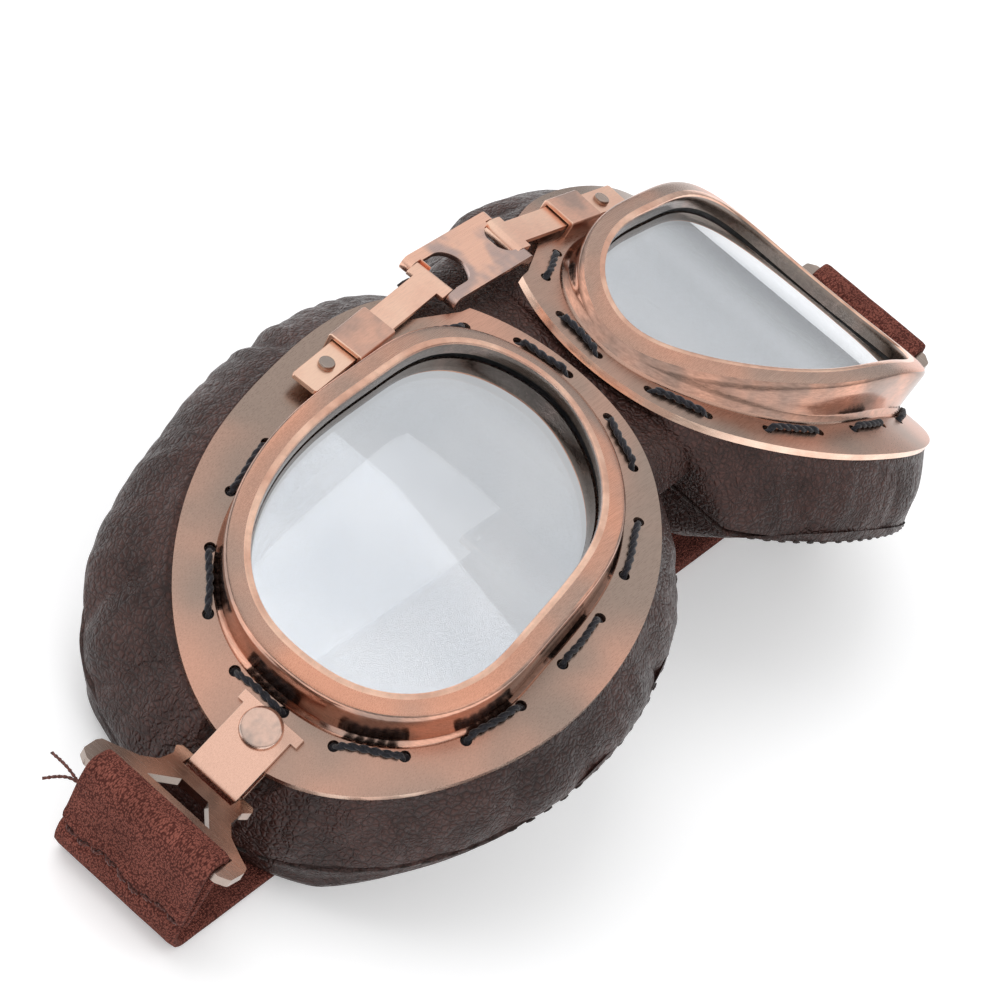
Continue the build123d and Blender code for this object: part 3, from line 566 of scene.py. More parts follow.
def webbingMaterial():
    # small knitted loops in rows: painted shade between them and painted light on their crowns
    material, tree, shader = newMaterial("webbing", Roughness=0.85, Specular_IOR_Level=0.15)
    loops = pattern(tree, "TexVoronoi", "UV", knit["loops"], Scale=1.0, Randomness=0.75)
    fibres = pattern(tree, "TexNoise", "UV", knit["fibres"], Scale=1.0, Detail=4.0,
                     Roughness=0.7)
    bands = pattern(tree, "TexNoise", "UV", knit["bands"], Scale=1.0, Detail=2.0)
    # lighter on each loop's crown and darker between the loops: painted light and shade, also used
    # as the bump's height
    crown = ramp(tree, loops.outputs[0], 0.15, 0.85, 1.0, 0.0)
    loopShadeAndHeight = combine(tree, combine(tree, crown, knit["loopShare"], "MULTIPLY"),
                   combine(tree, fibres.outputs[0], knit["fibreShare"], "MULTIPLY"))
    colour = mixColour(tree, ramp(tree, loopShadeAndHeight, 0.25, 0.85), knit["dark"], knit["light"])
    colour = darken(tree, colour, ramp(tree, bands.outputs[0], 0.3, 0.7, 0.85, 1.1))
    feed(shader, "Base Color", colour)
    addBump(tree, shader, loopShadeAndHeight, 1.0, 0.3)
    return material


webbing = webbingMaterial()

glass, glassTree, glassShader = newMaterial(
    "coatedGlass", Metallic=0.62, Transmission_Weight=1.0, Roughness=0.02, IOR=1.5)
smears = ramp(glassTree, evenNoise(glassTree, 30.0, 2.0), 0.3, 0.7)
feed(glassShader, "Base Color",
     mixColour(glassTree, smears, (0.8, 0.83, 0.87), (0.88, 0.9, 0.93)))
rubber = threadMaterial("gasketRubber", (0.01, 0.01, 0.01), (0.03, 0.03, 0.03), 900.0)
print("materials made")

# ---- raised rim

rim = {"width": 4.2, "lip": 3.0, "pocket": 2.1, "shoulder": 0.9, "foot": 0.85, "footHeight": 1.5}


def makeRim(name, side):
    width, foot, footHeight = rim["width"], rim["width"] + rim["foot"], rim["footHeight"]
    # stations of the section: growth from the opening, then depth under the crown, share of
    # the wall from shoulder to foot, or height over the plate
    stations = [
        (0.0, "crown", rim["lip"]), (0.0, "crown", 1.6), (0.02, "crown", 0.55),
        (0.16, "crown", 0.2), (0.5, "crown", 0.03), (1.2, "crown", 0.0), (2.4, "crown", 0.0),
        (width - 1.1, "crown", 0.02), (width - 0.5, "crown", 0.14),
        (width - 0.16, "crown", 0.42), (width, "crown", rim["shoulder"]),
        (width, "wall", 0.35), (width, "wall", 0.7), (width + 0.02, "plate", footHeight),
        (width + 0.12, "plate", footHeight - 0.35), (foot - 0.2, "plate", 0.5),
        (foot, "plate", 0.22), (foot, "plate", 0.0), (rim["pocket"], "plate", 0.0),
        (rim["pocket"], "crown", rim["lip"])]
    rings = []
    for grow, kind, amount in stations:
        ring = []
        for spot, out in zip(openingLine, openingOut):
            u, v = spot + out * grow
            top, bottom = crownLevel(u, rim["shoulder"]), plateLevel(u, footHeight)
            if kind == "crown":
                level = crownLevel(u, amount)
            elif kind == "plate":
                level = plateLevel(u, amount)
            else:
                level = top + (bottom - top) * amount
            ring.append(place(side, u, v, level))
        rings.append(ring)
    mesh = ringMesh(rings, shut=True)
    # finish of the faces from one station to another; all others are the rim's top. The darker
    # innerMetal on the inner wall and under the rim is painted shade, and the brighter rimEdge on
    # the inner rounding is polished metal with a painted highlight
    finishes = ["rimTop", "rimWall", "rimEdge", "innerMetal"]
    bands = [(0, 2, "innerMetal"), (2, 5, "rimEdge"), (8, 15, "rimWall"), (17, 19, "innerMetal")]
    for face in mesh.faces:
        numbers = [vert[mesh.verts.layers.int["ring"]] for vert in face.verts]
        for first, last, finishName in bands:
            if first <= min(numbers) and max(numbers) <= last:
                face.material_index = finishes.index(finishName)
    finish(mesh, name + "_rim", name + "_cup", [metal[key] for key in finishes],
           (name + "_bezel",), crease=38)


for name, side in sides.items():
    makeRim(name, side)
print("rims made")

# ---- plate and hardware: copies of the frame's own pieces with rounded edges, brighter on them: partly wear, partly painted highlight

def plateEdgeFace(face):
    # a face of the plate that looks sideways, not along the bend's own up direction; these take
    # the brighter edge metal, partly worn metal and partly a painted highlight
    middle = face.calc_center_median() / mm
    angle = np.interp(ontoCup(abs(middle.x), middle.z)[0], plateU, bendAngle)
    up = Vector((math.copysign(math.sin(angle), middle.x), 0, math.cos(angle)))
    return abs(face.normal.dot(up)) < 0.7


hardware = [  # node, body, edge rounding, face metal, edge metal (mostly brighter: partly wear, partly painted highlight), slot
    ("frame_plate", "cup", 0.22, "plateFace", "plateEdge", "plate_metal"),
    ("slide_loop", "cup", 0.2, "loopMetal", "stripMetal", "strip_metal"),
    ("slide_strip", "strip", 0.13, "stripMetal", "rimEdge", "strip_metal"),
    ("strip_stop", "strip", 0.08, "buckleMetal", "rivetMetal", "strip_metal"),
    ("strap_bracket", "cup", 0.18, "bracketMetal", "buckleEdge", "strip_metal"),
    ("bracket_rivet", "cup", 0.12, "rivetMetal", "buckleEdge", "strip_metal"),
    ("buckle_plate", "buckle", 0.28, "buckleMetal", "buckleEdge", "buckle_metal"),
]
for name in sides:
    for node, body, bevel, face, edge, slot in hardware:
        edgedCopy(name + "_" + node, name + "_" + body, bevel, (face, edge),
                  edgeOn=plateEdgeFace if node == "frame_plate" else None)
edgedCopy("bridge_link", "bridge", 0.16, ("linkMetal", "buckleEdge"))
edgedCopy("strap_adjuster", "adjuster", 0.2, ("buckleMetal", "buckleEdge"))
for name in sides:
    for node, material in (("hinge_pin", metal["buckleMetal"]), ("lens", glass),
                           ("lens_gasket", rubber), ("lens_retainer", metal["innerMetal"])):
        data = frame["nodes"][name + "_" + node].data
        data.materials.clear()
        data.materials.append(material)
print("hardware made")

# ---- lacing: a twisted cord from hole to hole of the plate

lacing = {
    "ply": 0.4, "pitch": 3.6, "sink": 1.15, "lift": 0.55, "rise": 1.25, "step": 0.4,
    "knot": (0.88, 0.88, 0.3), "sway": 0.16,
    "holes": [
        ((0.582, 0.372), (0.689, 0.345)), ((0.784, 0.287), (0.867, 0.19)),
        ((0.907, 0.066), (0.905, -0.066)), ((0.892, -0.19), (0.829, -0.31)),
        ((0.743, -0.377), (0.637, -0.405)), ((0.531, -0.402), (0.414, -0.382)),
        ((0.311, -0.346), (0.195, -0.275)), ((0.102, -0.172), (0.044, -0.046)),
        ((0.025, 0.088), (0.045, 0.216)), ((0.106, 0.313), (0.194, 0.353))],
}


def overPlate(side, reach, y, height):
    # point over the plate, at a reach along its bend
    x, z, angle = bendAt(reach)
    return spotOf(side, (x + height * math.sin(angle), y, z + height * math.cos(angle)))


def makeLacing(name, side):
    mesh = bmesh.new()
    for number, pair in enumerate(lacing["holes"]):
        start, stop = [Vector((u * plate["length"], v * plate["height"])) for u, v in pair]
        length = (stop - start).length
        aside = (stop - start).orthogonal().normalized()
        line = []
        steps = round(length / lacing["step"])
        for step in range(steps + 1):
            t = step / steps
            rise = smoothStep(min(t, 1 - t) * length / lacing["rise"])
            sway = lacing["sway"] * math.sin(2 * math.pi * t + number)
            spot = start.lerp(stop, t) + aside * sway * rise
            line.append(overPlate(side, spot.x, spot.y,
                                  (lacing["sink"] + lacing["lift"]) * rise - lacing["sink"]))
        addMesh(mesh, cordMesh(line, lacing["ply"] * mm, lacing["pitch"] * mm, sides=7))
        for end in (start, stop):
            turn = Matrix.Rotation(side * bendAt(end.x)[2], 4, "Y")
            addBead(mesh, overPlate(side, end.x, end.y, -lacing["sink"]), turn, lacing["knot"],
                    (12, 6))
    finish(mesh, name + "_lacing", name + "_cup", [blackCord],
           (name + "_frame_stitching",), crease=80, flip=False)


for name, side in sides.items():
    makeLacing(name, side)
print("lacing made")

# ---- cushions: gathered side leather and a padded roll

cushion = {
    "top": 1.25, "tuck": 1.0, "bulge": 5.5, "seam": 14.0, "drawIn": 3.5, "rollDepth": 26.0,
    "skin": 0.6, "sideHole": 5.0, "padHole": 0.6, "sideWall": 2.0, "padWall": 4.5,
    "heelX": 74.0, "rearSlope": 24.0, "cheekY": -18.0, "cheekSlope": 40.0, "rollRound": 6.0,
    "rollSteps": 14, "rollPower": 2.3, "wrinkle": 0.5, "wrinkleLength": 9.0,
    "noseHalf": 4.6, "noseHeight": 50.0, "noseLean": 0.3,
    "fold": 1.9, "foldLength": 17.0, "foldDrift": 45.0, "foldShare": 0.35, "foldBulge": 0.4,
    "gather": 0.45, "gatherLength": 4.2, "gatherDrift": 16.0, "calm": 3.0,
    "pocketU": 60.0, "pocketDrop": 2.7, "pocketHalf": 8.5, "pocketEdge": 2.5,
    "strapY": -4.5, "strapHalf": 12.8, "strapFloor": 0.55, "strapLayer": 1.7,
}
rearRise = math.tan(math.radians(cushion["rearSlope"]))
cheekRise = math.tan(math.radians(cushion["cheekSlope"]))


def swell(spot, depth):
    # how far the leather stands out from the plate's edge, at a depth under the plate
    bulge = cushion["bulge"] * plateBulge[spot]
    if depth <= cushion["seam"]:
        share = math.sin(math.pi / 2 * max(depth, 0) / cushion["seam"])
        return -cushion["tuck"] + (cushion["tuck"] + bulge) * share
    share = min((depth - cushion["seam"]) / cushion["rollDepth"], 1)
    return bulge - (bulge + cushion["drawIn"]) * (1 - math.cos(math.pi / 2 * share))


def rearHeight(x, y):
    # height of the face side over the floor: level at the heel, rising to nose and cheek
    slope = (cushion["heelX"] - x) * rearRise
    cheek = slope + (cushion["cheekY"] - y) * cheekRise
    return softMax(softMax(slope, cheek, 3.0), 0.0, 1.2)


def rearLevel(u, v, extra):
    # the same surface in the cup's own axes, with extra height
    slope = (cushion["heelX"] - plate["edgeX"] - u * tiltCos) * rearRise
    slope += max((cushion["cheekY"] - v) * cheekRise, 0.0)
    first = (slope + extra - plate["edgeZ"] + u * tiltSin) / (tiltCos + tiltSin * rearRise)
    second = (extra - plate["edgeZ"] + u * tiltSin) / tiltCos
    return max(first, second)


def cupPoint(u, v, level, wall):
    # point in millimetres on the left side, kept off the middle of the nose
    x, z = offCup(u, level)
    limit = cushion["noseHalf"] + (cushion["noseHeight"] - z) * cushion["noseLean"] + wall
    return Vector((softMax(x, limit, 1.2), v, z))


def around(spot, length, shift, depth):
    # noise that closes on itself round the cup
    turn = 2 * math.pi * spot / plate["spots"]
    radius = plateRound / (2 * math.pi * length)
    return noise.noise(Vector((radius * math.cos(turn), radius * math.sin(turn), shift + depth)))


def outerPoint(spot, depth, seed, lively):
    # pinched folds between round bulges, and small gathers between the folds
    fold = around(spot, cushion["foldLength"], seed, depth / cushion["foldDrift"])
    fold = min(abs(fold) * 3.2, 1.0) ** 0.6 - 0.75
    gather = around(spot, cushion["gatherLength"], seed + 9, depth / cushion["gatherDrift"])
    gather = abs(gather) * 2 - 0.5
    fold *= cushion["fold"] * (cushion["foldShare"] + cushion["foldBulge"] * plateBulge[spot])
    grow = swell(spot, depth) + lively * (fold + cushion["gather"] * gather)
    u, v = plateLine[spot] + plateOut[spot] * grow
    return cupPoint(u, v, plateLevel(u) - depth, 0.0)


def pocketDrop(spot):
    # the leather dips under the strap bracket at the temple
    u, v = plateLine[spot]
    if u < cushion["pocketU"]:
        return 0.0
    inside = cushion["pocketHalf"] - abs(v - cushion["strapY"])
    return cushion["pocketDrop"] * smoothStep(inside / cushion["pocketEdge"])


def sideLeather(name, side, seed):
    hole = facing(cushion["sideHole"])
    top, seam, calm = cushion["top"], cushion["seam"], cushion["calm"]
    depths = [top, 1.5, 2.0, 2.8, 3.8, 5.0, 6.3, 7.6, 8.9, 10.1, 11.2, 12.2, 13.0, seam - 0.4]
    reach = depths[-1] - top
    rings, down = [], []
    for depth in depths:
        lively = smoothStep((depth - top) / calm)
        lively *= 1 - 0.55 * smoothStep((depth - seam + calm) / calm)
        ring = []
        for spot in range(plate["spots"]):
            drop = pocketDrop(spot)
            low = top + drop + (depth - top) * (reach - drop) / reach
            ring.append(spotOf(side, outerPoint(spot, low, seed, lively)))
        rings.append(ring)
        down.append(depth)
    # in under the seam and up the inside: depth, and share of the way to the hole
    for depth, share in ((seam - 0.12, 0.1), (seam - 0.02, 0.4), (seam - 0.02, 1.0), (8.0, 1.0),
                         (top + 0.05, 1.0), (top, 0.5)):
        ring = []
        for spot in range(plate["spots"]):
            outer = plateLine[spot] + plateOut[spot] * (swell(spot, depth) - cushion["skin"])
            u, v = outer + (hole[spot] - outer) * share
            drop = pocketDrop(spot) if depth < 2 and share < 1 else 0.0
            level = plateLevel(u) - depth - drop
            ring.append(spotOf(side, cupPoint(u, v, level, cushion["sideWall"] * share)))
        rings.append(ring)
        down.append(seam + 4 * (len(down) - len(depths) + 1))
    mesh = ringMesh(rings, shut=True)
    addUv(mesh, plateMap, down)
    piece = finish(mesh, name + "_side_leather_shown", name + "_cup",
                   [leather["brownLeather"]], (name + "_side_leather",), crease=60)


def facePad(name, side, seed, layers):
    hole = facing(cushion["padHole"])
    seam, steps = cushion["seam"], cushion["rollSteps"]
    strapTop = cushion["strapFloor"] + layers * cushion["strapLayer"]
    columns = []
    for spot in range(plate["spots"]):
        u, v = plateLine[spot]
        for _ in range(6):  # the depth sets the bulge, and the bulge the depth
            depth = plateLevel(u) - rearLevel(u, v, 0.0)
            u, v = plateLine[spot] + plateOut[spot] * swell(spot, depth)
        curl = min(cushion["rollRound"], 0.72 * max(depth - seam - 1.0, 1.0))
        wallTop, wallEnd = seam + 0.5, depth - curl / tiltCos
        column = []
        for share in (0.0, 0.08, 0.2, 0.36, 0.52, 0.68, 0.84, 1.0):
            lively = 0.5 * math.sin(math.pi * min(share + 0.15, 1)) + 0.1
            column.append(outerPoint(spot, wallTop + (wallEnd - wallTop) * share, seed + 3,
                                     lively))
        start = column[-1]
        holeU, holeV = hole[spot]
        low = rearLevel(holeU, holeV, curl)
        end = cupPoint(holeU, holeV, low, cushion["padWall"])
        for step in range(1, steps):
            t = (1 - math.cos(math.pi * step / steps)) / 2
            point = start.lerp(end, t)
            fall = (1 - abs(2 * t - 1) ** cushion["rollPower"]) ** (1 / cushion["rollPower"])
            lift = (start.z - rearHeight(start.x, start.y)) * (1 - t) + (
                end.z - rearHeight(end.x, end.y)) * t
            point.z = rearHeight(point.x, point.y) + lift * (1 - fall)
            wrinkle = around(spot, cushion["wrinkleLength"], seed + 20, t * 3)
            point.z += cushion["wrinkle"] * (wrinkle + 0.3) * fall
            column.append(point)
        column.append(end)
        top = plateLevel(holeU) - seam
        for share in (0.5, 1.0):
            column.append(cupPoint(holeU, holeV, low + (top - low) * share, cushion["padWall"]))
        # back out under the seam: inset from the leather's face, gap below it, and wall
        for inset, gap, wall in ((1.5, 0.03, 1.0), (0.55, 0.12, 0.3)):
            u, v = plateLine[spot] + plateOut[spot] * (swell(spot, seam) - inset)
            column.append(cupPoint(u, v, plateLevel(u) - seam - gap, wall))
        for point in column:
            inside = cushion["strapHalf"] + 2.5 - abs(point.y - cushion["strapY"])
            point.z = max(point.z, strapTop * smoothStep(inside / 2.5), 0.02)
        columns.append([spotOf(side, point) for point in column])
    rings = [list(ring) for ring in zip(*columns)]
    mesh = ringMesh(rings, shut=True)
    addUv(mesh, plateMap, [seam + 1.4 * number for number in range(len(rings))])
    piece = finish(mesh, name + "_face_pad_shown", name + "_cup", [leather["padLeather"]],
                   (name + "_face_pad",), crease=60)


seamStitch = {"pitch": 3.1, "length": 2.0, "radius": 0.24, "hiddenBulge": 1.15}


def seamStitches(name, side, seed):
    # left out where the bulging leather above hides the seam
    mesh = bmesh.new()
    number = round(plateRound / seamStitch["pitch"])
    size = (seamStitch["length"] / 2, seamStitch["radius"], seamStitch["radius"])
    for i in range(number):
        spot = round(i * plate["spots"] / number) % plate["spots"]
        if plateBulge[spot] > seamStitch["hiddenBulge"]:
            continue
        here, there = [
            spotOf(side, outerPoint(s % plate["spots"], cushion["seam"] + 0.6, seed, 0.1))
            for s in (spot, spot + 2)]
        along = (there - here).normalized()
        across = along.cross(Vector((0, 0, 1))).normalized()
        turn = Matrix((along, across, along.cross(across))).transposed().to_4x4()
        addBead(mesh, here, turn, size, (6, 5))
    finish(mesh, name + "_seam_stitches", name + "_cup", [seamThread])


for name, side in sides.items():
    seed = 2.0 if side > 0 else 31.0
    sideLeather(name, side, seed)
    facePad(name, side, seed, 2 if side > 0 else 1)
    seamStitches(name, side, seed)
print("cushions made")

# ---- nose leather, in two halves

noseLeather = {"lowY": -17.0, "highY": 39.3, "tuck": 3.0, "under": 1.5, "sag": 1.5,
               "roll": 6.5, "widest": 15.5, "inCushion": 1.6, "thickness": 1.2, "rows": 52,
               "columns": 22, "blendEnd": 7.0, "wrinkle": 0.55, "mapHalf": 12.0}
nasalY, nasalX = np.array(sorted(  # the plate's nasal edge, from the cheek up to the brow
    (v, offCup(u, plateLevel(u))[0]) for (u, v), (outU, outV) in zip(plateLine, plateOut)
    if u < 30 and outU < 0.2)).T


def noseHalf(name, side):
    low, high, roll = noseLeather["lowY"], noseLeather["highY"], noseLeather["roll"]
    flat, arc = high - low - 2 * roll, roll * 1.35
    rows, down = [], []
    for row in range(noseLeather["rows"] + 1):
        reach = -arc + (flat + 2 * arc) * row / noseLeather["rows"]
        over = max(-reach, reach - flat, 0.0) / roll
        y = low + roll + min(max(reach, 0.0), flat)
        y += math.copysign(roll * math.sin(over), reach) if over else 0.0
        drop = roll * (1 - math.cos(over))
        edge = min(np.interp(y, nasalY, nasalX) + noseLeather["tuck"], noseLeather["widest"])
        gap = cushion["noseHalf"] + cushion["noseLean"] * drop + noseLeather["inCushion"]
        half = edge + (min(gap, edge) - edge) * smoothStep(over / 0.9)
        line = []
        for column in range(noseLeather["columns"] + 1):
            q = column / noseLeather["columns"]
            x = half * q
            z = np.interp(x, bendX, bendZ)
            z -= noseLeather["under"] + drop + noseLeather["sag"] * (1 - q * q)
            wrinkle = noise.noise(Vector((side * x / 5, y / 4.5, 4.0)))
            z += noseLeather["wrinkle"] * wrinkle * (1 - q ** 3) * min(q * 4, 1)
            line.append(spotOf(side, (x, y, z)))
        rows.append(line)
        down.append(reach)
    mesh = ringMesh(rows, roundLoop=False)
    columns = noseLeather["columns"]
    addUv(mesh, [noseLeather["mapHalf"] * i / columns for i in range(columns + 1)], down)
    for face in mesh.faces:
        face.normal_update()
    if sum(face.normal.z for face in mesh.faces) < 0:
        bmesh.ops.reverse_faces(mesh, faces=mesh.faces)
    bmesh.ops.solidify(mesh, geom=mesh.faces[:], thickness=noseLeather["thickness"] * mm)
    piece = finish(mesh, name + "_nose_leather", None, [leather["brownLeather"]],
                   ("nose_leather",) if side > 0 else (), crease=60)
    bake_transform(piece)


for name, side in sides.items():
    noseHalf(name, side)
print("nose leather made")

# ---- elastic strap

strap = {
    "width": 25.0, "thickness": 1.6, "gap": 0.1, "floorGap": 0.2, "lean": 2.2, "lap": 7.0,
    "bend": 3.6, "middleY": -4.5, "edges": (0.0, 0.25, 1.1, 2.6),
    "buckleTilt": 8.0, "buckleThickness": 1.4, "slotEnd": 15.6, "buckleLength": 18.6,
    "underX": 98.0, "innerX": 46.0, "across": 1.1, "edgeShare": 0.35, "edgeRound": 0.5,
    "wave": 0.1, "mapRound": 60.0,
}
slider = {"x": 12.0, "thickness": 1.6, "halfLength": 8.6, "endBar": 1.8, "halfBar": 1.1}
strapSeamLook = {
    "height": 8.6, "waves": ((0.7, 0.55), (0.25, 2.1)), "reach": 3.2, "zone": (3.0, 15.0),
    "groove": 0.85, "grooveWidth": 0.8, "ridge": 0.35, "ridgeWidth": 1.0, "ridgeAbove": 1.8,
    "first": -11.6, "last": 11.0, "pitch": 2.6, "length": 1.9, "sink": 0.75, "lift": 0.6,
    "slant": 0.25, "radius": 0.26, "twist": 1.6, "steps": 8,
    "ends": ((2.6, 4.6, -1.6), (-0.6, 6.4, 0.6)), "endRadius": 0.2, "endSteps": 14,
}
halfStrap = strap["width"] / 2
strapSpace = strap["thickness"] / 2 + strap["gap"]
strapLayer = strap["thickness"] + strap["gap"]
strapFirst = strap["floorGap"] + strap["thickness"] / 2
strapSecond = strapFirst + strapLayer
buckleX, _, buckleZ = [value / mm for value in joints["left_buckle_hinge"]["pos_m"]]


def onBuckle(u, w):
    # point along and above the tilted buckle, from its hinge
    tilt = math.radians(strap["buckleTilt"])
    return (buckleX + u * math.cos(tilt) - w * math.sin(tilt),
            buckleZ + u * math.sin(tilt) + w * math.cos(tilt))


barInner, barOuter = strap["slotEnd"] - strapSpace, strap["buckleLength"] + strapSpace
barAbove = strap["buckleThickness"] / 2 + strapSpace
barTurn = [onBuckle(barInner, -barAbove), onBuckle(barInner, barAbove),
           onBuckle(barOuter, barAbove), onBuckle(barOuter, -barAbove)]


def strapFoot(layer):
    # where the strap comes down from the buckle and turns under the cup
    level = strapSecond if layer else strapFirst
    shift = layer * strapLayer
    footX, bend = barTurn[-1][0] - strap["lean"] - shift, strap["bend"] - shift / 2
    return [(footX, level + bend), (footX - bend, level)]


def roundedLine(points, radius, step):
    # corners become short curves, then the line is cut into even steps
    spots = [Vector(points[0])]
    for before, corner, after in zip(points, points[1:], points[2:]):
        before, corner, after = Vector(before), Vector(corner), Vector(after)
        one, two = before - corner, after - corner
        cut = min(radius, one.length * 0.48, two.length * 0.48)
        start, end = corner + one.normalized() * cut, corner + two.normalized() * cut
        for i in range(7):
            t = i / 6
            spots.append(start * (1 - t) ** 2 + corner * 2 * t * (1 - t) + end * t * t)
    spots.append(Vector(points[-1]))
    lengths = reachesOf(np.array([tuple(spot) for spot in spots]))
    places = np.linspace(0, lengths[-1], max(int(lengths[-1] / step), 2) + 1)
    line = [Vector((np.interp(p, lengths, [s.x for s in spots]),
                    np.interp(p, lengths, [s.y for s in spots]))) for p in places]
    return line, places


strapAcross = [-halfStrap + edge for edge in strap["edges"]]
strapAcross += [i * strap["across"] for i in range(-8, 9)] + [-y for y in strapAcross[::-1]]


def seamLine(across):
    return strapSeamLook["height"] + sum(
        height * math.sin(across * turn) for height, turn in strapSeamLook["waves"])


def ribbon(name, side, points, radius, step, slim=0.0, seamed=False):
    line, places = roundedLine(points, radius, step)
    half = halfStrap - slim
    low, high = strapSeamLook["zone"]
    rings = []
    for number, spot in enumerate(line):
        before, after = line[max(number - 1, 0)], line[min(number + 1, len(line) - 1)]
        along = (after - before).normalized()
        out = Vector((-along.y, along.x))
        upper, lower = [], []
        for across in strapAcross:
            edge = min((half - abs(across) * half / halfStrap) / strap["edgeRound"], 1)
            thick = (strap["thickness"] / 2 - slim) * (
                strap["edgeShare"] + (1 - strap["edgeShare"]) * math.sqrt(max(edge, 0)))
            wave = noise.noise(Vector((places[number] / 5, across / 4, side * 7.0)))
            wave *= strap["wave"]
            top, bottom = thick + wave, -thick + wave
            if seamed and spot.x > barTurn[-1][0] - strapSeamLook["reach"] and low < spot.y < high:
                # seam across the outer leg of the loop, pulled in by its thread
                above = spot.y - seamLine(across)
                near = math.exp(-(above / strapSeamLook["grooveWidth"]) ** 2)
                ridge = math.exp(-((above - strapSeamLook["ridgeAbove"])
                                   / strapSeamLook["ridgeWidth"]) ** 2)
                top += strapSeamLook["ridge"] * ridge - strapSeamLook["groove"] * near
            y = strap["middleY"] + across * half / halfStrap
            upper.append(spotOf(side, (spot.x + out.x * top, y, spot.y + out.y * top)))
            lower.append(spotOf(side, (spot.x + out.x * bottom, y, spot.y + out.y * bottom)))
        rings.append(upper + lower[::-1])
    mesh = ringMesh(rings, capped=True)
    width = [across + halfStrap for across in strapAcross]
    under = [strap["mapRound"] - value for value in width[::-1]]
    addUv(mesh, width + under + [strap["mapRound"] + 1], places)
    bmesh.ops.triangulate(mesh, faces=[face for face in mesh.faces if len(face.verts) > 4])
    return finish(mesh, name, None, [webbing], crease=75)


def strapSeam(name, side):
    # thread that dips in and out along the seam, and on one side two loose ends at the brow
    mesh = bmesh.new()
    outerX, outerZ = barTurn[-1]
    footX, footZ = strapFoot(0)[0]
    look, steps = strapSeamLook, strapSeamLook["steps"]
    lines = []
    for start in np.arange(look["first"], look["last"], look["pitch"]):
        line = []
        for step in range(steps + 1):
            across = start + look["length"] * step / steps
            height = seamLine(across)
            share = (height - footZ) / (outerZ - footZ)
            x = footX + (outerX - footX) * share + strap["thickness"] / 2
            lift = look["lift"] * math.sin(math.pi * step / steps)
            line.append(spotOf(side, (x - look["sink"] + lift, strap["middleY"] + across,
                                      height + look["slant"] * (step / steps - 0.5))))
        lines.append((line, look["radius"]))
    for lean, reach, drop in look["ends"] if side < 0 else ():
        line = []
        for step in range(look["endSteps"] + 1):
            t = step / look["endSteps"]
            line.append(spotOf(side, (
                outerX + 0.3 + lean * t * t, strap["middleY"] + 12.0 + reach * t,
                outerZ - 1.5 + drop * t + 0.5 * math.sin(3.5 * t))))
        lines.append((line, look["endRadius"]))
    for line, radius in lines:
        addMesh(mesh, cordMesh(line, radius * mm, look["twist"] * mm, sides=5))
    return finish(mesh, name + "_strap_seam", None, [strapThread], flip=False)


def makeStrap(name, side):
    foot, innerFoot = strapFoot(0), strapFoot(1)
    out = (strap["underX"], strapFirst)
    if side < 0:
        points = [(innerFoot[0][0], strap["lap"])] + barTurn + foot + [out]
    else:
        points = [(strap["underX"], strapSecond)] + innerFoot[::-1] + barTurn + foot + [out]
    loop = ribbon(name + "_strap_loop", side, points, radius=1.3, step=0.55, seamed=True)
    for piece in (loop, strapSeam(name, side)):
        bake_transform(piece)
    levels = [strapFirst] if side < 0 else [strapFirst, strapSecond]
    for number, level in enumerate(levels):
        under = ribbon(f"{name}_strap_under_{number}", side,
                       [(strap["underX"] + 1.5, level), (strap["innerX"], level)],
                       radius=1.0, step=3.0, slim=0.02)
        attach(under, name + "_cup")
        inner = 0.0 if side < 0 else slider["x"] + (7.2, 6.2)[number]
        piece = ribbon(f"{name}_strap_inner_{number}", side,
                       [(strap["innerX"] + 8, level), (inner, level)],
                       radius=1.0, step=3.0, slim=0.04)
        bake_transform(piece)


def strapAtAdjuster():
    # the run over the slider's two outer bars, and the end folded round its middle bar
    middle, halfBar = slider["x"], slider["halfBar"]
    bottom = strapSecond + strap["thickness"] / 2 + 2 * strap["gap"]
    top = bottom + slider["thickness"]
    wrap = halfBar + strapSpace
    slot = (slider["halfLength"] - slider["endBar"] + wrap + strap["thickness"] / 2) / 2
    over = top + strapLayer - strap["thickness"] / 2 + strapLayer
    flat = ribbon("strap_middle", 1, [
        (-0.5, strapFirst), (middle - slot - 1, strapFirst), (middle - slot, over),
        (middle + slot, over), (middle + slot + 1, strapSecond)], radius=1.2, step=1.0)
    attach(flat, "bridge")
    fold = ribbon("strap_fold", 1, [
        (middle + slot + 1, strapFirst), (middle + halfBar, bottom - strapSpace),
        (middle - wrap, bottom - strapSpace), (middle - wrap, top + strapSpace),
        (middle + halfBar, top + strapSpace)], radius=1.0, step=0.8)
    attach(fold, "adjuster")
    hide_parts("elastic_strap")


strapAtAdjuster()
for name, side in sides.items():
    makeStrap(name, side)
print("strap made")

# ---- floor, light and camera

studio = {
    "floorSize": 6.0, "floorGlow": 0.3, "floorColours": ((0.86, 0.865, 0.875), (0.9, 0.9, 0.905)),
    "lamps": {"key": (6.0, 1.1, (-0.25, 0.55, 1.1)), "fill": (2.0, 0.7, (-0.9, -0.7, 0.7))},
    "worldDiffuse": 0.78, "worldHeight": (-0.05, 0.62, 0.42, 1.02), "cloudScale": 1.7,
    "clouds": (0.32, 0.68, 0.84, 1.04),
    "aim": (0.0, 0.01, 0.034), "azimuth": -73.9, "elevation": 36.4, "roll": 30.8,
    "distance": 0.716, "lens": 153.3, "shift": (-0.013, -0.079),
}


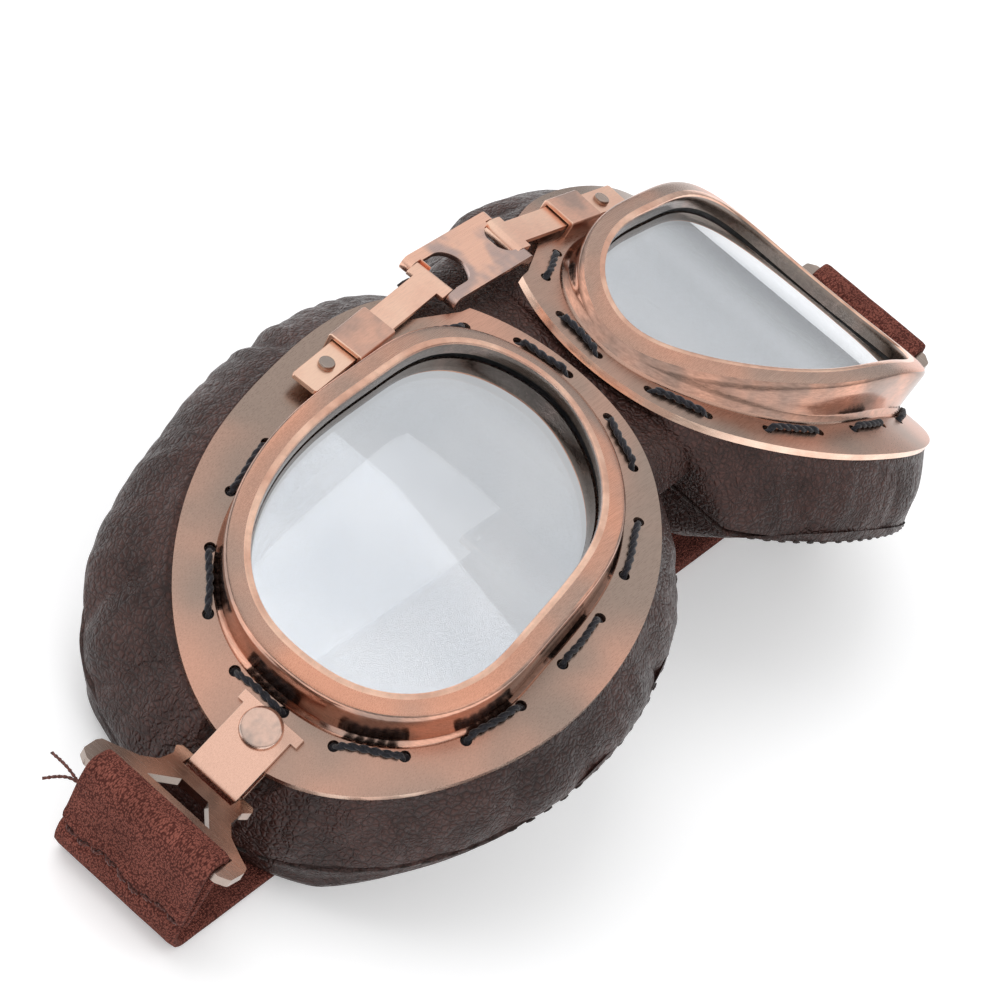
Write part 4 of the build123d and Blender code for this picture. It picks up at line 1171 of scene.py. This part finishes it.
def makeFloor():
    mesh = bmesh.new()
    bmesh.ops.create_grid(mesh, x_segments=2, y_segments=2, size=studio["floorSize"] / 2)
    material, tree, shader = newMaterial("paleFloor", Roughness=0.6, Specular_IOR_Level=0.2)
    cloud = evenNoise(tree, 3.0, 2.0)
    feed(shader, "Base Color", mixColour(tree, cloud, *studio["floorColours"]))
    path = addNode(tree, "LightPath", {})
    seen = combine(tree, path.outputs["Is Camera Ray"], path.outputs["Is Glossy Ray"], "MAXIMUM")
    seen = combine(tree, seen, path.outputs["Is Transmission Ray"], "MAXIMUM")
    shader.inputs["Emission Color"].default_value = (1, 1, 1, 1)
    feed(shader, "Emission Strength", combine(tree, seen, studio["floorGlow"], "MULTIPLY"))
    floor = finish(mesh, "floor", None, [material])


def areaLamp(name, power, size, spot):
    data = bpy.data.lights.new(name, "AREA")
    data.energy, data.size, data.shape = power, size, "SQUARE"
    lamp = newObject(name, data)
    lamp.location = spot
    lamp.visible_glossy = False
    turn = (Vector(studio["aim"]) - lamp.location).to_track_quat("-Z", "Y")
    lamp.rotation_euler = turn.to_euler()


def makeWorld():
    world = bpy.data.worlds.new("studio")
    bpy.context.scene.world = world
    world.use_nodes = True
    tree = world.node_tree
    path = addNode(tree, "LightPath", {})
    coords = addNode(tree, "TexCoord", {}).outputs["Generated"]
    split = addNode(tree, "SeparateXYZ", {"Vector": coords})
    height = ramp(tree, split.outputs[2], *studio["worldHeight"])
    clouds = addNode(tree, "TexNoise", {"Vector": coords, "Scale": studio["cloudScale"],
                                        "Detail": 1.0})
    height = combine(tree, height, ramp(tree, clouds.outputs[0], *studio["clouds"]), "MULTIPLY")
    glossy = mixColour(tree, height, (0.0, 0.0, 0.0), (1.0, 1.0, 1.0))
    shade = mixColour(tree, path.outputs["Is Glossy Ray"], (studio["worldDiffuse"],) * 3, glossy)
    seen = combine(tree, path.outputs["Is Camera Ray"], path.outputs["Is Transmission Ray"],
                   "MAXIMUM")
    feed(tree.nodes["Background"], "Color", mixColour(tree, seen, shade, (1.0, 1.0, 1.0)))


def makeCamera():
    az, el, roll = (math.radians(studio[key]) for key in ("azimuth", "elevation", "roll"))
    back = Vector((math.sin(az) * math.cos(el), -math.cos(az) * math.cos(el), math.sin(el)))
    right = Vector((math.cos(az), math.sin(az), 0))
    up = back.cross(right)
    turnedRight = right * math.cos(roll) + up * math.sin(roll)
    turnedUp = up * math.cos(roll) - right * math.sin(roll)
    data = bpy.data.cameras.new("camera")
    data.lens, data.sensor_width = studio["lens"], 36.0
    data.shift_x, data.shift_y = studio["shift"]
    data.clip_start, data.clip_end = 0.05, 20.0
    camera = newObject("camera", data)
    turn = Matrix((turnedRight, turnedUp, back)).transposed().to_4x4()
    camera.matrix_world = Matrix.Translation(
        Vector(studio["aim"]) + back * studio["distance"]) @ turn
    bpy.context.scene.camera = camera


makeFloor()
for name, (power, size, spot) in studio["lamps"].items():
    areaLamp(name, power, size, spot)
makeWorld()
makeCamera()
bpy.context.scene.view_settings.view_transform = "Standard"
print("studio ready")
